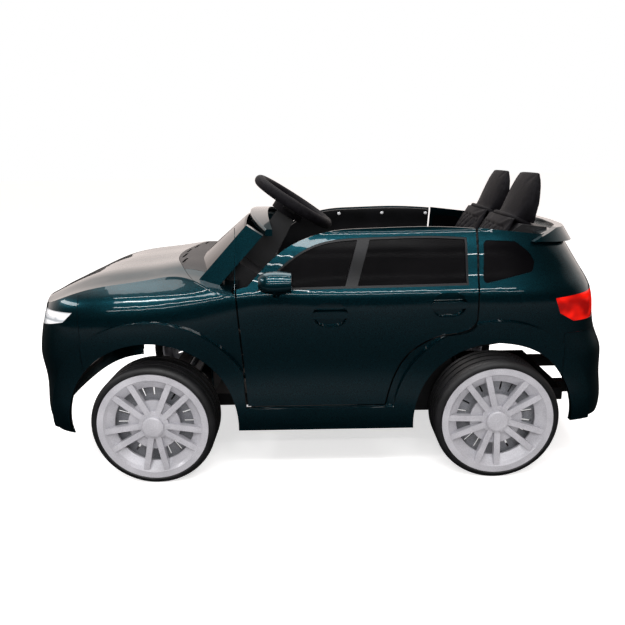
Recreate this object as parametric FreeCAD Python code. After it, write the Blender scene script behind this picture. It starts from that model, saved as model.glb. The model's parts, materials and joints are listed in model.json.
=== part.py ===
import FreeCAD, Part
import math
import os

V = FreeCAD.Vector

# Electric ride-on car, in millimetres. Front towards -X, left side towards -Y, ground at Z = 0.
half_length = 606.0
half_width = 298.0
rail_height = 508.0
wheelbase = 683.0
track = 508.0
ground_clearance = 112.0

# Moulded skins and the fits between them
skin_wall = 3.5
seam_gap = 2.5
hinge_seam_gap = 3.2
panel_seam = 0.8
running_clearance = 0.15
slide_gap = 0.5
overrun = 80.0
parallel_share = 0.000001
upright_share = 0.5

# Horizontal slices of the body: height share, width share, nose share, tail share, fender share
level_shares = [
    (0.130, 0.915, 0.949, 0.960, 1.000),
    (0.2205, 0.955, 0.990, 0.993, 1.000),
    (0.315, 0.962, 0.995, 0.996, 1.000),
    (0.423, 0.950, 0.994, 0.988, 1.000),
    (0.5315, 0.963, 0.998, 0.968, 1.000),
    (0.610, 0.980, 0.982, 0.942, 1.000),
    (0.689, 0.996, 0.962, 0.932, 0.985),
    (0.748, 1.000, 0.942, 0.917, 0.945),
    (0.787, 0.980, 0.925, 0.900, 0.885),
    (0.8465, 0.947, 0.900, 0.868, 0.800),
    (0.925, 0.910, 0.875, 0.826, 0.740),
    (1.000, 0.873, 0.850, 0.790, 0.700),
]
# Plan outline of a slice from the nose to the middle, then on to the tail: length share, width share
nose_plan_shares = [(1.0, 0.0), (0.995, 0.30), (0.977, 0.60), (0.917, 0.86),
                    (0.80, 0.965), (0.56, 0.99), (0.26, 1.0), (0.0, 1.0)]
tail_plan_shares = [(0.30, 1.0), (0.56, 0.985), (0.77, 0.955), (0.915, 0.85),
                    (0.98, 0.58), (0.996, 0.30), (1.0, 0.0)]
fender_start_share = 0.28
fender_full_share = 0.60

# Wheel arches, their flares and the sill
front_arch_radius = 170.0
rear_arch_radius = 160.0
arch_centre_height = 125.0
rear_arch_shift = 7.0
flare_width = 42.0
flare_depth = 9.0
sill_height = 46.0
sill_flange_depth = 24.0
sill_flange_thickness = 4.0
bumper_split_share = 0.777
rear_bumper_split_share = 0.775
rear_bumper_top = 296.0
front_bumper_bottom = 100.0
rear_bumper_bottom = 114.0
bumper_tab_heights = (302.0, 318.0)
bumper_tab_reach = 18.0
bumper_tab_wall = 4.0

# Door seen from the side, as shares of half the length and of the rail height
door_front_shares = [(-0.251, 0.317), (-0.269, 0.782)]
door_arch_shares = [(0.195, 0.317), (0.226, 0.439), (0.267, 0.520), (0.320, 0.569),
                    (0.383, 0.596), (0.467, 0.622), (0.482, 0.654)]
door_rail_shares = [(0.4785, 0.985), (0.302, 0.996), (0.149, 0.993), (0.025, 0.984),
                    (-0.038, 0.966), (-0.101, 0.935), (-0.149, 0.897), (-0.191, 0.850), (-0.234, 0.793)]
window_sill_shares = [(-0.205, 0.778), (0.452, 0.784)]
window_rail_shares = [(0.449, 0.954), (0.302, 0.963), (0.149, 0.960), (0.030, 0.952),
                      (-0.030, 0.935), (-0.085, 0.902), (-0.128, 0.864), (-0.205, 0.778)]
pillar_shares = [(0.064, 0.77), (0.102, 0.77), (0.150, 0.966), (0.112, 0.966)]
trim_wall = 4.0
glass_thickness = 3.0
glass_margin = 4.0
door_depth = 22.0
door_panel_wall = 4.0
door_panel_inset = 4.0
handle_places_shares = [(0.021, 0.682), (0.392, 0.712)]
handle_length = 66.0
handle_height = 48.0
handle_depth = 9.0
handle_bar_height = 13.0
handle_bar_depth = 3.0
bar_root_share = 0.75

# Door hinge: a vertical axis behind the seam, with two ears and two bracket arms
hinge_x = -137.0
hinge_y = -271.0
hinge_heights = [216.0, 352.0]
hinge_ear_thickness = 8.0
hinge_ear_radius = 6.0
hinge_pin_radius = 3.0
hinge_pin_length = 9.0
hinge_arm_thickness = 6.0
hinge_arm_reach = (-40.0, 52.0)
hinge_arm_half_width = 4.0
hinge_panel_setback = 9.0
hinge_post_thickness = 8.0
hinge_post_depth = 56.0
door_swing_radius = 39.0

# Mirror on the door
mirror_x = -88.0
mirror_height = 416.0
mirror_reach = 20.0
mirror_length = 30.0
mirror_width = 52.0
mirror_depth = 40.0
mirror_arm_radius = 9.0
mirror_arm_drop = 190.0
mirror_shares = [(-0.5, 0.55), (-0.3, 0.9), (0.1, 1.0), (0.5, 0.86)]

# Bonnet line seen from the side, and its section across the car
hood_line_shares = [(-1.073, 0.622), (-0.974, 0.676), (-0.889, 0.7205), (-0.787, 0.768),
                    (-0.688, 0.790), (-0.561, 0.806), (-0.4125, 0.812), (-0.2475, 0.806)]
hood_section_shares = [(1.12, -1.5), (0.90, -0.15), (0.76, 0.20), (0.66, 0.62), (0.35, 0.92), (0.0, 1.0)]
hood_crown = 17.0
hood_wall = 4.0
hood_rear_radius = 527.0
hood_rear_centre_x = 209.0
cowl_half_width = 206.0
cowl_rear_x = -196.0
cowl_slot_count = 5
cowl_slot_width = 5.0
cowl_slot_length = 52.0
cowl_slot_pitch = 70.0
cowl_slot_setback = 20.0
shoulder_rear_x = -167.0

# Windscreen and its cap
screen_levels = [396.0, 455.0, 520.0]
screen_centre_xs = [-305.0, -235.0, -158.0]
screen_edge_xs = [-243.0, -182.0, -112.0]
screen_half_widths = [226.0, 217.0, 206.0]
screen_wall = 4.0
screen_top_centre = 513.0
screen_top_drop = 27.0
cap_height = 13.0
cap_depth = 40.0
cap_end_depth = 14.0
cap_wall = 4.0
pillar_gap = 6.0
pillar_width = 20.0
pillar_foot = [(-275.0, 372.0), (-225.0, 372.0)]
pillar_head = [(-146.0, 511.0), (-115.0, 490.0)]

# Lamps, grille, rear window: front or side outlines as shares
headlamp_shares = [(-1.06, 0.632), (-1.06, 0.705), (-0.795, 0.698), (-0.830, 0.660), (-0.930, 0.636)]
headlamp_inner_share = 0.36
lamp_inset = 0.6
lamp_depth = 13.0
tail_lamp_shares = [(0.730, 0.726), (1.10, 0.768), (1.10, 0.630), (0.802, 0.630), (0.750, 0.666)]
tail_lamp_inner_share = 0.46
grille_shares = [(-0.44, 0.600), (0.44, 0.600), (0.52, 0.540), (0.40, 0.395), (-0.40, 0.395), (-0.52, 0.540)]
intake_shares = [(-0.56, 0.340), (0.56, 0.340), (0.48, 0.242), (-0.48, 0.242)]
grille_depth = 9.0
grille_frame = 9.0
grille_slat = 5.0
grille_bar_count = 5
intake_bar_count = 3
rear_window_shares = [(-0.70, 0.800), (0.70, 0.800), (0.62, 0.930), (-0.62, 0.930)]
quarter_window_shares = [(0.501, 0.943), (0.600, 0.937), (0.642, 0.900), (0.662, 0.862),
                         (0.656, 0.826), (0.498, 0.786)]
glass_inset = 0.8
corner_radius = 8.0
tail_top_shares = [(0.480, 0.988), (0.590, 0.972), (0.693, 0.957), (0.745, 0.968), (0.82, 0.962)]
deck_front_share = 0.70
deck_overlap_share = 0.05
deck_wall = 4.0
# Lip round the top of the tail, seen from the side
spoiler_shares = [(0.655, 0.935), (0.745, 0.979), (0.92, 0.976), (0.92, 0.920)]
spoiler_reach = 14.0
spoiler_root_share = 0.75

# Bulkhead and chassis tray
bulkhead_x = -246.0
bulkhead_wall = 4.0
bulkhead_top = 384.0
bush_radius = 14.0
bush_length = 24.0
floor_bottom = 104.0
floor_thickness = 4.0
tray_wall = 4.0
tray_wall_top = 132.0
tray_half_width = 256.0
tray_middle_front = -160.0
tray_middle_rear = 160.0
tray_flange_reach = 272.0
tray_neck_half_width = 140.0
tray_front_x = -372.0
tray_rear_x = 530.0
tray_joint_xs = (-100.0, 156.0)
tray_rib_count = 5
tray_rib_height = 3.0
tray_rib_width = 6.0
prong_half_width = 14.0
rear_prong_y = 90.0

# Front axle beam, knuckles and linkage
kingpin_y = -196.0
beam_half_length = 16.0
beam_bottom = floor_bottom
beam_top = 158.0
fork_plate = 8.0
kingpin_radius = 6.0
knuckle_radius = 10.0
stub_radius = 6.0
collar_radius = 9.0
steering_arm_length = 42.0
steering_arm_width = 18.0
steering_arm_bottom = 138.0
steering_arm_thickness = 7.0
tie_gap = 2.0
tie_height = 6.0
tie_width = 16.0
tie_pin_radius = 4.0
tie_slot_play = 0.6
tie_slot_travel = 4.0
crank_length = 30.0
crank_plate = 6.0
crank_width = 18.0
crank_stand_off = 12.0
crank_pin_radius = 4.0
crank_pin_tail = 8.0
crank_slot_length = 24.0
crank_slot_wall = 8.0

# Steering wheel: centre of its rim, lean of the column from upright
wheel_centre_x = -58.0
wheel_centre_y = -102.0
wheel_centre_z = 545.0
column_lean = 33.6
shaft_radius = 6.0
steer_ring_radius = 82.0
steer_tube_radius = 11.0
steer_hub_radius = 34.0
steer_hub_depth = 18.0
steer_hub_drop = 12.0
steer_spoke_width = 30.0
steer_spoke_depth = 12.0
steer_spoke_angles = [0.0, 180.0, 270.0]
pad_radius = 30.0
pad_depth = 12.0
pad_crown = 4.0
horn_radius = 7.0
horn_offset = 14.0
horn_travel = 2.5
horn_proud = 1.5
column_top_distance = 31.0
column_base_distance = 150.0
column_bore_reach = 450.0
column_base_half = (32.0, 30.0)
column_top_half = (24.0, 20.0)
column_bore = 7.0

# Dashboard seen from the side, and its controls
dash_half_width = 214.0
dash_wall = 4.0
dash_bottom = 300.0
dash_front_top = 382.0
dash_step_x = -194.0
dash_step_z = 396.0
dash_top = 438.0
dash_face_x = -112.0
dash_face_bottom = 336.0
dash_lip_x = -132.0
power_place = (-30.0, 368.0)
power_radius = 9.0
power_proud = 6.0
power_flange = 2.5
switch_place = (14.0, 368.0)
switch_width = 18.0
switch_height = 34.0
switch_radius = 22.0
switch_gap = 0.8
switch_pin_radius = 2.75
switch_barrel_radius = 4.4
switch_root_share = 0.7

# Pedal
pedal_x = -112.0
pedal_y = -58.0
pedal_axis_height = 118.0
pedal_width = 62.0
pedal_length = 74.0
pedal_thickness = 8.0
pedal_angle = 36.0
pedal_barrel_radius = 7.0
pedal_pin_radius = 3.5
pedal_ear_thickness = 8.0
pedal_rib_count = 5
pedal_rib_depth = 2.0

# Seats
seat_box_front = 70.0
seat_box_rear = 268.0
seat_box_top = 248.0
seat_half_width = 196.0
seat_wall = 4.0
seat_back_foot = (258.0, 238.0)
seat_back_head = (374.0, 484.0)
seat_back_crest = (396.0, 500.0)
seat_back_top_rear = (446.0, 494.0)
seat_back_bottom_rear = (428.0, 264.0)
seat_pitch = 204.0
cushion_width = 186.0
cushion_front = 66.0
cushion_rear = 254.0
cushion_thickness = 26.0
cushion_crown = 9.0
cushion_draw = 5.0
# Cushion from front to rear: length share, width share, thickness share
cushion_shares = [(0.0, 0.92, 0.62), (0.25, 1.0, 1.0), (0.5, 1.0, 1.0), (0.75, 1.0, 1.0), (1.0, 0.94, 0.75)]
back_pad_width = 184.0
back_pad_thickness = 20.0
# Padded back, then headrest: height share, width share, depth share, share behind the shell
back_shares = [(0.0, 0.90, 0.75, 0.0), (0.18, 1.0, 1.0, 0.0), (0.36, 1.0, 1.06, 0.0),
               (0.54, 0.97, 1.0, 0.0), (0.72, 0.86, 0.70, 0.0)]
headrest_shares = [(0.68, 0.64, 2.95, 2.60), (0.76, 0.76, 2.36, 2.10), (0.84, 0.79, 1.80, 1.65),
                   (0.92, 0.74, 1.30, 1.15), (1.0, 0.56, 0.53, 0.50)]
back_length = 358.0
back_start = 46.0
back_crown_share = 0.22
back_draw_share = 0.03
# Sewn diagonal channels of the padded back
quilt_count = 3
quilt_pitch = 46.0
quilt_radius = 5.0
quilt_depth = 3.0
quilt_middle_share = 0.33

# Drive
battery_size = (150.0, 98.0, 94.0)
battery_x = 92.0
battery_y = -62.0
battery_terminal_radius = 6.0
battery_terminal_height = 8.0
battery_terminal_setback = 24.0
battery_terminal_spread = 24.5
control_size = (110.0, 90.0, 34.0)
control_x = 160.0
control_y = 72.0
control_rib = 4.0
control_fin_count = 6
axle_radius = 6.0
nut_radius = 10.0
nut_length = 8.0
block_half_length = 18.0
block_inner_y = 124.0
block_outer_y = 176.0
block_top = 146.0
gearbox_width = 44.0
gearbox_axle_radius = 34.0
gearbox_motor_radius = 26.0
motor_offset = (-44.0, 30.0)
motor_radius = 18.0
motor_length = 58.0

# Wheels
tyre_radius = 124.0
tyre_width = 88.0
tyre_bead_radius = 102.0
tyre_shoulder = 11.0
groove_depth = 4.0
groove_width = 6.0
groove_pitch = 22.0
rim_radius = 110.0
rim_lip = 6.0
rim_barrel_wall = 4.0
rim_step_radius = 93.0
rim_ring_radius = 79.0
rim_ring_depth = 16.0
rim_ring_wall = 5.0
spoke_pairs = 5
spoke_root_radius = 30.0
spoke_root_offset = 5.0
spoke_tip_offset = 21.5
spoke_width = 12.0
spoke_tip_radius = 98.0
spoke_hub_depth = 9.0
spoke_tip_depth = 2.0
spoke_thickness = 12.0
web_radius = 52.0
web_depth = 14.0
hub_radius = 30.0
hub_inner_reach = 30.0
cap_seat_radius = 21.0
cap_seat_depth = 8.0
nut_pocket_radius = 14.0
nut_pocket_depth = 18.0
disc_radius = 90.0
disc_thickness = 4.0
disc_depth = 32.0
disc_slot_count = 20
disc_slot_radius = 67.0
disc_slot_length = 22.0
disc_slot_width = 3.5
cap_dome = 3.0
rear_wheel_turn = 10.0


def side_point(share):
    return V(share[0] * half_length, 0, share[1] * rail_height)


def spline(points, start=None, end=None):
    curve = Part.BSplineCurve()
    if start is None:
        curve.interpolate(Points=points)
    else:
        curve.interpolate(Points=points, InitialTangent=start, FinalTangent=end)
    return curve


def closed(points):
    return Part.makePolygon(list(points) + [points[0]])


def prism(wire, start, depth):
    shape = Part.Face(wire)
    shape.translate(start)
    return shape.extrude(depth)


def box(low, high):
    size = high - low
    return Part.makeBox(size.x, size.y, size.z, low)


def rod(radius, start, end):
    return Part.makeCylinder(radius, (end - start).Length, start, end - start)


def side_prism(wire, near, far):
    return prism(wire, V(0, near, 0), V(0, far - near, 0))


def eased_prism(points, start, depth, radius):
    solid = prism(closed(points), start, depth)
    along = [edge for edge in solid.Edges
             if edge.tangentAt(edge.FirstParameter).cross(depth).Length < parallel_share * depth.Length]
    return solid.makeFillet(radius, along)


def turned(profile):
    face = Part.Face(closed([V(radius, depth, 0) for radius, depth in profile]))
    return face.revolve(V(0, 0, 0), V(0, 1, 0), 360)


def mirrored(shape):
    return shape.mirror(V(0, 0, 0), V(0, 1, 0))


def both(half):
    return half.fuse(mirrored(half))


def save(name, *solids):
    shape = solids[0] if len(solids) == 1 else Part.makeCompound(list(solids))
    if shape.ShapeType == "Compound" and len(shape.Solids) == 1:
        shape = shape.Solids[0]
    shape.exportStep("parts/" + name + ".step")


def slice_curve(level, inset):
    height_share, width_share, nose_share, tail_share, fender_share = level
    height = rail_height * height_share
    points = []
    for along_share, out_share in nose_plan_shares:
        blend_share = (along_share - fender_start_share) / (fender_full_share - fender_start_share)
        narrow_share = 1 - (1 - fender_share) * min(1, max(0, blend_share))
        points.append(V(-half_length * nose_share * along_share,
                        -half_width * width_share * out_share * narrow_share, height))
    for along_share, out_share in tail_plan_shares:
        out = -half_width * width_share * out_share
        points.append(V(half_length * tail_share * along_share, out, height))
    curve = spline(points, V(0, -1, 0), V(0, 1, 0))
    if inset == 0:
        return curve
    moved = []
    for point in points:
        heading = curve.tangent(curve.parameter(point))[0]
        moved.append(point + V(-heading.y, heading.x, 0) * inset)
    moved[0] = V(moved[0].x, 0, height)
    moved[-1] = V(moved[-1].x, 0, height)
    return spline(moved, V(0, -1, 0), V(0, 1, 0))


def half_solid(inset):
    # left half of the body as a filled form, its surface set in by the given depth
    wires = []
    for level in level_shares:
        edge = slice_curve(level, inset).toShape()
        wires.append(Part.Wire([edge, Part.makeLine(edge.lastVertex().Point, edge.firstVertex().Point)]))
    return Part.makeLoft(wires, True, False)


def half_layer(outer_inset, inner_inset):
    # left half of the body as a thin layer between two depths under its surface
    wires = []
    for level in level_shares:
        outer = slice_curve(level, outer_inset).toShape()
        inner = slice_curve(level, inner_inset).toShape()
        tail = Part.makeLine(outer.lastVertex().Point, inner.lastVertex().Point)
        nose = Part.makeLine(inner.firstVertex().Point, outer.firstVertex().Point)
        wires.append(Part.Wire([outer, tail, inner, nose]))
    return Part.makeLoft(wires, True, False)


outside_y = -(half_width + overrun)
door_reach_y = -half_width / 2
front_axle_x = -wheelbase / 2
rear_axle_x = wheelbase / 2
rear_arch_x = rear_axle_x - rear_arch_shift
sill_top = ground_clearance + sill_height
bumper_split_x = -half_length * bumper_split_share
rear_bumper_split_x = half_length * rear_bumper_split_share


def arch_disc(x, radius):
    return rod(radius, V(x, outside_y, arch_centre_height), V(x, door_reach_y, arch_centre_height))


def side_outline(runs, inset):
    # closed side outline from runs of points, two for a line and more for a curve, moved in by an inset
    middle = sum((point for run in runs for point in run[1:]), V(0, 0, 0)) / sum(len(run) - 1 for run in runs)
    headings = []
    for run in runs:
        if len(run) == 2:
            headings.append([(run[1] - run[0]).normalize()] * 2)
        else:
            curve = spline(run)
            headings.append([curve.tangent(curve.parameter(point))[0] for point in run])
    first = runs[0][0]
    turn = 1 if (first + runs[0][1] - middle * 2).cross(headings[0][0]).y < 0 else -1
    edges = []
    for index, run in enumerate(runs):
        normals = [V(-way.z, 0, way.x) * turn for way in headings[index]]
        before = V(-headings[index - 1][-1].z, 0, headings[index - 1][-1].x) * turn
        following = headings[(index + 1) % len(runs)][0]
        after = V(-following.z, 0, following.x) * turn
        moved = [point + normal * inset for point, normal in zip(run, normals)]
        moved[0] = run[0] + (before + normals[0]) * (inset / (1 + before.dot(normals[0])))
        moved[-1] = run[-1] + (after + normals[-1]) * (inset / (1 + after.dot(normals[-1])))
        edges.append(Part.makeLine(moved[0], moved[1]) if len(run) == 2 else spline(moved).toShape())
    return Part.Wire(edges)


def door_wire(inset):
    front = [side_point(share) for share in door_front_shares]
    rear = [side_point(share) for share in door_arch_shares]
    rail = [side_point(share) for share in door_rail_shares]
    return side_outline([[front[0], rear[0]], rear, [rear[-1], rail[0]], rail, [rail[-1], front[1]],
                         [front[1], front[0]]], inset)


def door_opening():
    # side hole in the body: the door's outline with a seam, open to the sky
    front_low = side_point(door_front_shares[0]) + V(-hinge_seam_gap, 0, -seam_gap)
    front_high = side_point(door_front_shares[1]) + V(-hinge_seam_gap, 0, 0)
    rear = spline([side_point(share) + V(seam_gap, 0, -seam_gap) for share in door_arch_shares]).toShape()
    sky = V(0, 0, rail_height + overrun)
    rear_high = V(rear.lastVertex().Point.x, 0, 0) + sky
    front_sky = V(front_high.x, 0, 0) + sky
    edges = [Part.makeLine(front_low, rear.firstVertex().Point), rear,
             Part.makeLine(rear.lastVertex().Point, rear_high), Part.makeLine(rear_high, front_sky),
             Part.makeLine(front_sky, front_high), Part.makeLine(front_high, front_low)]
    return side_prism(Part.Wire(edges), outside_y, door_reach_y)


def hood_curve(station_share, sink):
    # one section of the bonnet surface across the car, lowered by the given depth
    x = half_length * station_share[0]
    edge_height = rail_height * station_share[1] - sink
    outer = [V(x, -half_width * out, edge_height + hood_crown * rise) for out, rise in hood_section_shares]
    points = outer + [V(point.x, -point.y, point.z) for point in reversed(outer[:-1])]
    return spline(points).toShape()


def hood_slab(top_sink, bottom_sink):
    # everything between two depths under the bonnet surface
    wires = []
    for station_share in hood_line_shares:
        top = hood_curve(station_share, top_sink)
        bottom = hood_curve(station_share, bottom_sink)
        left = Part.makeLine(bottom.firstVertex().Point, top.firstVertex().Point)
        right = Part.makeLine(top.lastVertex().Point, bottom.lastVertex().Point)
        wires.append(Part.Wire([top, right, bottom, left]))
    return Part.makeLoft(wires, True, False)


def hood_rear_disc(radius):
    # plan circle that gives the bonnet its curved rear edge
    return rod(radius, V(hood_rear_centre_x, 0, 0), V(hood_rear_centre_x, 0, rail_height + overrun))


def lamp_prism(shares, inner_share):
    wire = closed([side_point(share) for share in shares])
    return side_prism(wire, outside_y, -half_width * inner_share)


def nose_prism(shares, radius, direction):
    # outline seen from the front or the back, carried through the nose or the tail
    points = [V(0, half_width * share[0], rail_height * share[1]) for share in shares]
    reach = half_length + overrun
    return eased_prism(points, V(0, 0, 0), V(direction * reach, 0, 0), radius)


def flare_region():
    front = arch_disc(front_axle_x, front_arch_radius + flare_width)
    rear = arch_disc(rear_arch_x, rear_arch_radius + flare_width)
    sill = box(V(front_axle_x, outside_y, ground_clearance), V(rear_axle_x, door_reach_y, sill_top))
    below = box(V(-half_length - overrun, outside_y - overrun, -half_length),
                V(half_length + overrun, 0, ground_clearance))
    return front.fuse([rear, sill]).cut(below)


def trimmed_skin():
    # left half of the painted skin with flares, door opening, arches and bonnet line cut
    skin = half_layer(0, skin_wall)
    flare = half_layer(-flare_depth, skin_wall / 2).common(flare_region())
    skin = skin.fuse(flare)
    under = box(V(bumper_split_x, outside_y, -overrun), V(rear_bumper_split_x, 0, ground_clearance))
    tail_line = [side_point(share) for share in tail_top_shares]
    sky = rail_height + overrun
    tail_sky = [V(tail_line[-1].x + overrun, 0, sky), V(tail_line[0].x - overrun, 0, sky)]
    tail_cut = side_prism(closed(tail_line + [V(tail_line[-1].x + overrun, 0, tail_line[-1].z)] + tail_sky),
                          outside_y, 0)
    cuts = [under, door_opening(), arch_disc(front_axle_x, front_arch_radius),
            arch_disc(rear_arch_x, rear_arch_radius), tail_cut]
    skin = skin.cut(cuts)
    behind = hood_rear_disc(hood_rear_radius - panel_seam)
    under_bonnet = hood_slab(-sky, hood_wall).common(hood_region()).cut(behind)
    under_shoulder = hood_slab(-sky, hood_wall / 2).common(hood_region()).common(behind)
    return skin.cut([under_bonnet, under_shoulder])


def hood_region():
    # plan area ahead of the door, left half
    return box(V(-half_length - overrun, outside_y, 0), V(shoulder_rear_x, 0, rail_height + overrun))


def cowl_box(inset):
    return box(V(-half_length, -cowl_half_width + inset, 0), V(cowl_rear_x, 0, rail_height + overrun))


def shoulder():
    # painted corner between the bonnet, the windscreen foot and the door
    sheet = hood_slab(0, hood_wall).common(half_solid(skin_wall / 2)).common(hood_region())
    sheet = sheet.common(hood_rear_disc(hood_rear_radius - panel_seam))
    sky = rail_height + overrun
    middle = box(V(-half_length, -cowl_half_width, 0), V(shoulder_rear_x + overrun, 0, sky))
    dash = box(V(dash_step_x - panel_seam, -dash_half_width - panel_seam, 0),
               V(shoulder_rear_x + overrun, 0, sky))
    swing = rod(door_swing_radius, V(hinge_x, hinge_y, 0), V(hinge_x, hinge_y, sky))
    return sheet.cut([middle, dash, swing])


def screen_pillar():
    # raked painted pillar beside the windscreen, rising from the bulkhead and leaning in
    rings = []
    for places, span in ((pillar_foot, screen_half_widths[0]), (pillar_head, screen_half_widths[-1])):
        inner = -(span + pillar_gap)
        outer = inner - pillar_width
        front, rear = places
        rings.append(closed([V(front[0], inner, front[1]), V(rear[0], inner, rear[1]),
                             V(rear[0], outer, rear[1]), V(front[0], outer, front[1])]))
    return Part.makeLoft(rings, True, True)


def bulkhead_half():
    plate = box(V(bulkhead_x, outside_y, tray_wall_top), V(bulkhead_x + bulkhead_wall, 0, bulkhead_top))
    plate = plate.common(half_solid(skin_wall / 2))
    return plate.cut(arch_disc(front_axle_x, front_arch_radius))


def hinge_arm(height, upwards):
    # bracket arm from the hinge post to the hinge axis, with a hole for the pin
    direction = 1 if upwards else -1
    start = height + direction * (hinge_ear_thickness / 2 + slide_gap)
    low = start if upwards else start - hinge_arm_thickness
    axis = V(hinge_x, hinge_y, low)
    eye = Part.makeCylinder(hinge_ear_radius, hinge_arm_thickness, axis)
    far = V(hinge_x + hinge_arm_reach[0], hinge_y + hinge_arm_reach[1], low)
    along = (far - axis).normalize()
    across = V(-along.y, along.x, 0) * hinge_arm_half_width
    stem = prism(closed([axis - across, far - across, far + across, axis + across]), V(0, 0, 0),
                 V(0, 0, hinge_arm_thickness))
    hole = Part.makeCylinder(hinge_pin_radius + running_clearance, hinge_arm_thickness, axis)
    return eye.fuse(stem).cut(hole)


def hinge_post():
    # upright rib inside the fender that carries both hinge arms
    far_x = hinge_x + hinge_arm_reach[0]
    post = box(V(far_x - hinge_post_thickness, outside_y, ground_clearance),
               V(far_x, hinge_y + hinge_post_depth, bulkhead_top))
    return post.common(half_solid(skin_wall / 2)).cut(arch_disc(front_axle_x, front_arch_radius))


def deck_half():
    # top of the tail behind the seats
    front_share = deck_front_share - deck_overlap_share
    line = [side_point(share) for share in tail_top_shares if share[0] >= front_share]
    lower = [point - V(0, 0, deck_wall) for point in reversed(line)]
    slab = side_prism(closed(line + lower), outside_y, 0)
    return slab.common(half_solid(skin_wall / 2)).cut(seat_wedge(-panel_seam))


def spoiler_half():
    # lip that stands out past the skin and thins away along the sides
    outline = closed([side_point(share) for share in spoiler_shares])
    layer = half_layer(-spoiler_reach, skin_wall * spoiler_root_share)
    return layer.common(side_prism(outline, outside_y, 0))


def shell_half(skin):
    low, high = hinge_heights
    parts = [shoulder(), screen_pillar(), bulkhead_half(), hinge_post(), hinge_arm(low, False),
             hinge_arm(high, True), deck_half(), spoiler_half()]
    flange = half_layer(skin_wall / 2, sill_flange_depth).common(
        box(V(tray_middle_front, outside_y, ground_clearance),
            V(tray_middle_rear, 0, ground_clearance + sill_flange_thickness)))
    shell = skin.common(box(V(bumper_split_x + panel_seam, outside_y, 0),
                            V(half_length + overrun, 0, rail_height + overrun)))
    rear_low = box(V(rear_bumper_split_x - panel_seam, outside_y, 0),
                   V(half_length + overrun, 0, rear_bumper_top + panel_seam))
    shell = shell.cut(rear_low)
    return shell.fuse(parts + [flange])


def rear_glass_prisms():
    window = nose_prism(rear_window_shares, corner_radius, 1)
    quarter = eased_prism([side_point(share) for share in quarter_window_shares], V(0, outside_y, 0),
                          V(0, door_reach_y - outside_y, 0), corner_radius)
    return window, quarter


def body_shell(skin):
    half = shell_half(skin)
    window, quarter = rear_glass_prisms()
    half = half.cut([lamp_prism(tail_lamp_shares, tail_lamp_inner_share), window, quarter])
    whole = both(half)
    axis, centre = column_axis(), column_centre()
    hole_centre = centre + axis * ((bulkhead_x - centre.x) / axis.x)
    bush = rod(bush_radius, hole_centre - axis * bush_length / 2, hole_centre + axis * bush_length / 2)
    reach = axis * bush_length
    hole = rod(shaft_radius + running_clearance, hole_centre - reach, hole_centre + reach)
    return whole.fuse(bush).cut(hole)


def column_axis():
    lean = math.radians(column_lean)
    return V(math.sin(lean), 0, math.cos(lean))


def column_centre():
    return V(wheel_centre_x, wheel_centre_y, wheel_centre_z)


def bumper_tab():
    # tab at the bumper's rear edge that laps behind the fender
    low, high = bumper_tab_heights
    lap_inset = skin_wall + panel_seam
    root = half_layer(skin_wall / 2, lap_inset + bumper_tab_wall)
    root = root.common(box(V(bumper_split_x - bumper_tab_reach, outside_y, low), V(bumper_split_x, 0, high)))
    lap = half_layer(lap_inset, lap_inset + bumper_tab_wall)
    lap = lap.common(box(V(bumper_split_x - bumper_tab_reach, outside_y, low),
                         V(bumper_split_x + bumper_tab_reach, 0, high)))
    return root.fuse(lap)


def front_bumper(skin):
    reach = box(V(-half_length - overrun, outside_y, front_bumper_bottom), V(bumper_split_x, 0, rail_height))
    half = skin.common(reach)
    half = half.cut([lamp_prism(headlamp_shares, headlamp_inner_share),
                     nose_prism(grille_shares, corner_radius, -1),
                     nose_prism(intake_shares, corner_radius, -1)])
    return both(half.fuse(bumper_tab()))


def rear_bumper(skin):
    reach = box(V(rear_bumper_split_x, outside_y, rear_bumper_bottom),
                V(half_length + overrun, 0, rear_bumper_top))
    return both(skin.common(reach))


def bonnet():
    half = hood_slab(0, hood_wall).common(half_solid(0)).common(hood_region())
    return both(half.cut(hood_rear_disc(hood_rear_radius)))


def cowl_panel():
    half = hood_slab(0, hood_wall).common(cowl_box(panel_seam))
    half = half.common(hood_rear_disc(hood_rear_radius - panel_seam))
    whole = both(half)
    for index in range(cowl_slot_count):
        y = (index - (cowl_slot_count - 1) / 2) * cowl_slot_pitch
        front = hood_rear_centre_x - math.sqrt(hood_rear_radius ** 2 - y ** 2) + cowl_slot_setback / 2
        whole = whole.cut(box(V(front, y - cowl_slot_length / 2, 0),
                              V(front + cowl_slot_width, y + cowl_slot_length / 2, rail_height)))
    return whole


def crescent(height, edge_x, centre_x, half_span, depth, end_depth):
    # bowed strip seen from above: front arc, and a rear arc set back in the middle and at the ends
    front = Part.Arc(V(edge_x, -half_span, height), V(centre_x, 0, height),
                     V(edge_x, half_span, height)).toShape()
    rear = Part.Arc(V(edge_x + end_depth, half_span, height), V(centre_x + depth, 0, height),
                    V(edge_x + end_depth, -half_span, height)).toShape()
    right = Part.makeLine(front.lastVertex().Point, rear.firstVertex().Point)
    left = Part.makeLine(rear.lastVertex().Point, front.firstVertex().Point)
    return Part.Wire([front, right, rear, left])


def screen_arch(rise):
    # everything under the arched top line of the windscreen, raised by the given height
    reach = half_width
    drop = screen_top_drop * (reach / screen_half_widths[-1]) ** 2
    left = V(0, -reach, screen_top_centre + rise - drop)
    right = V(0, reach, screen_top_centre + rise - drop)
    arc = Part.Arc(left, V(0, 0, screen_top_centre + rise), right).toShape()
    low_right = V(0, reach, 0)
    low_left = V(0, -reach, 0)
    wire = Part.Wire([arc, Part.makeLine(right, low_right), Part.makeLine(low_right, low_left),
                      Part.makeLine(low_left, left)])
    return prism(wire, V(-half_length, 0, 0), V(half_length, 0, 0))


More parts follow.
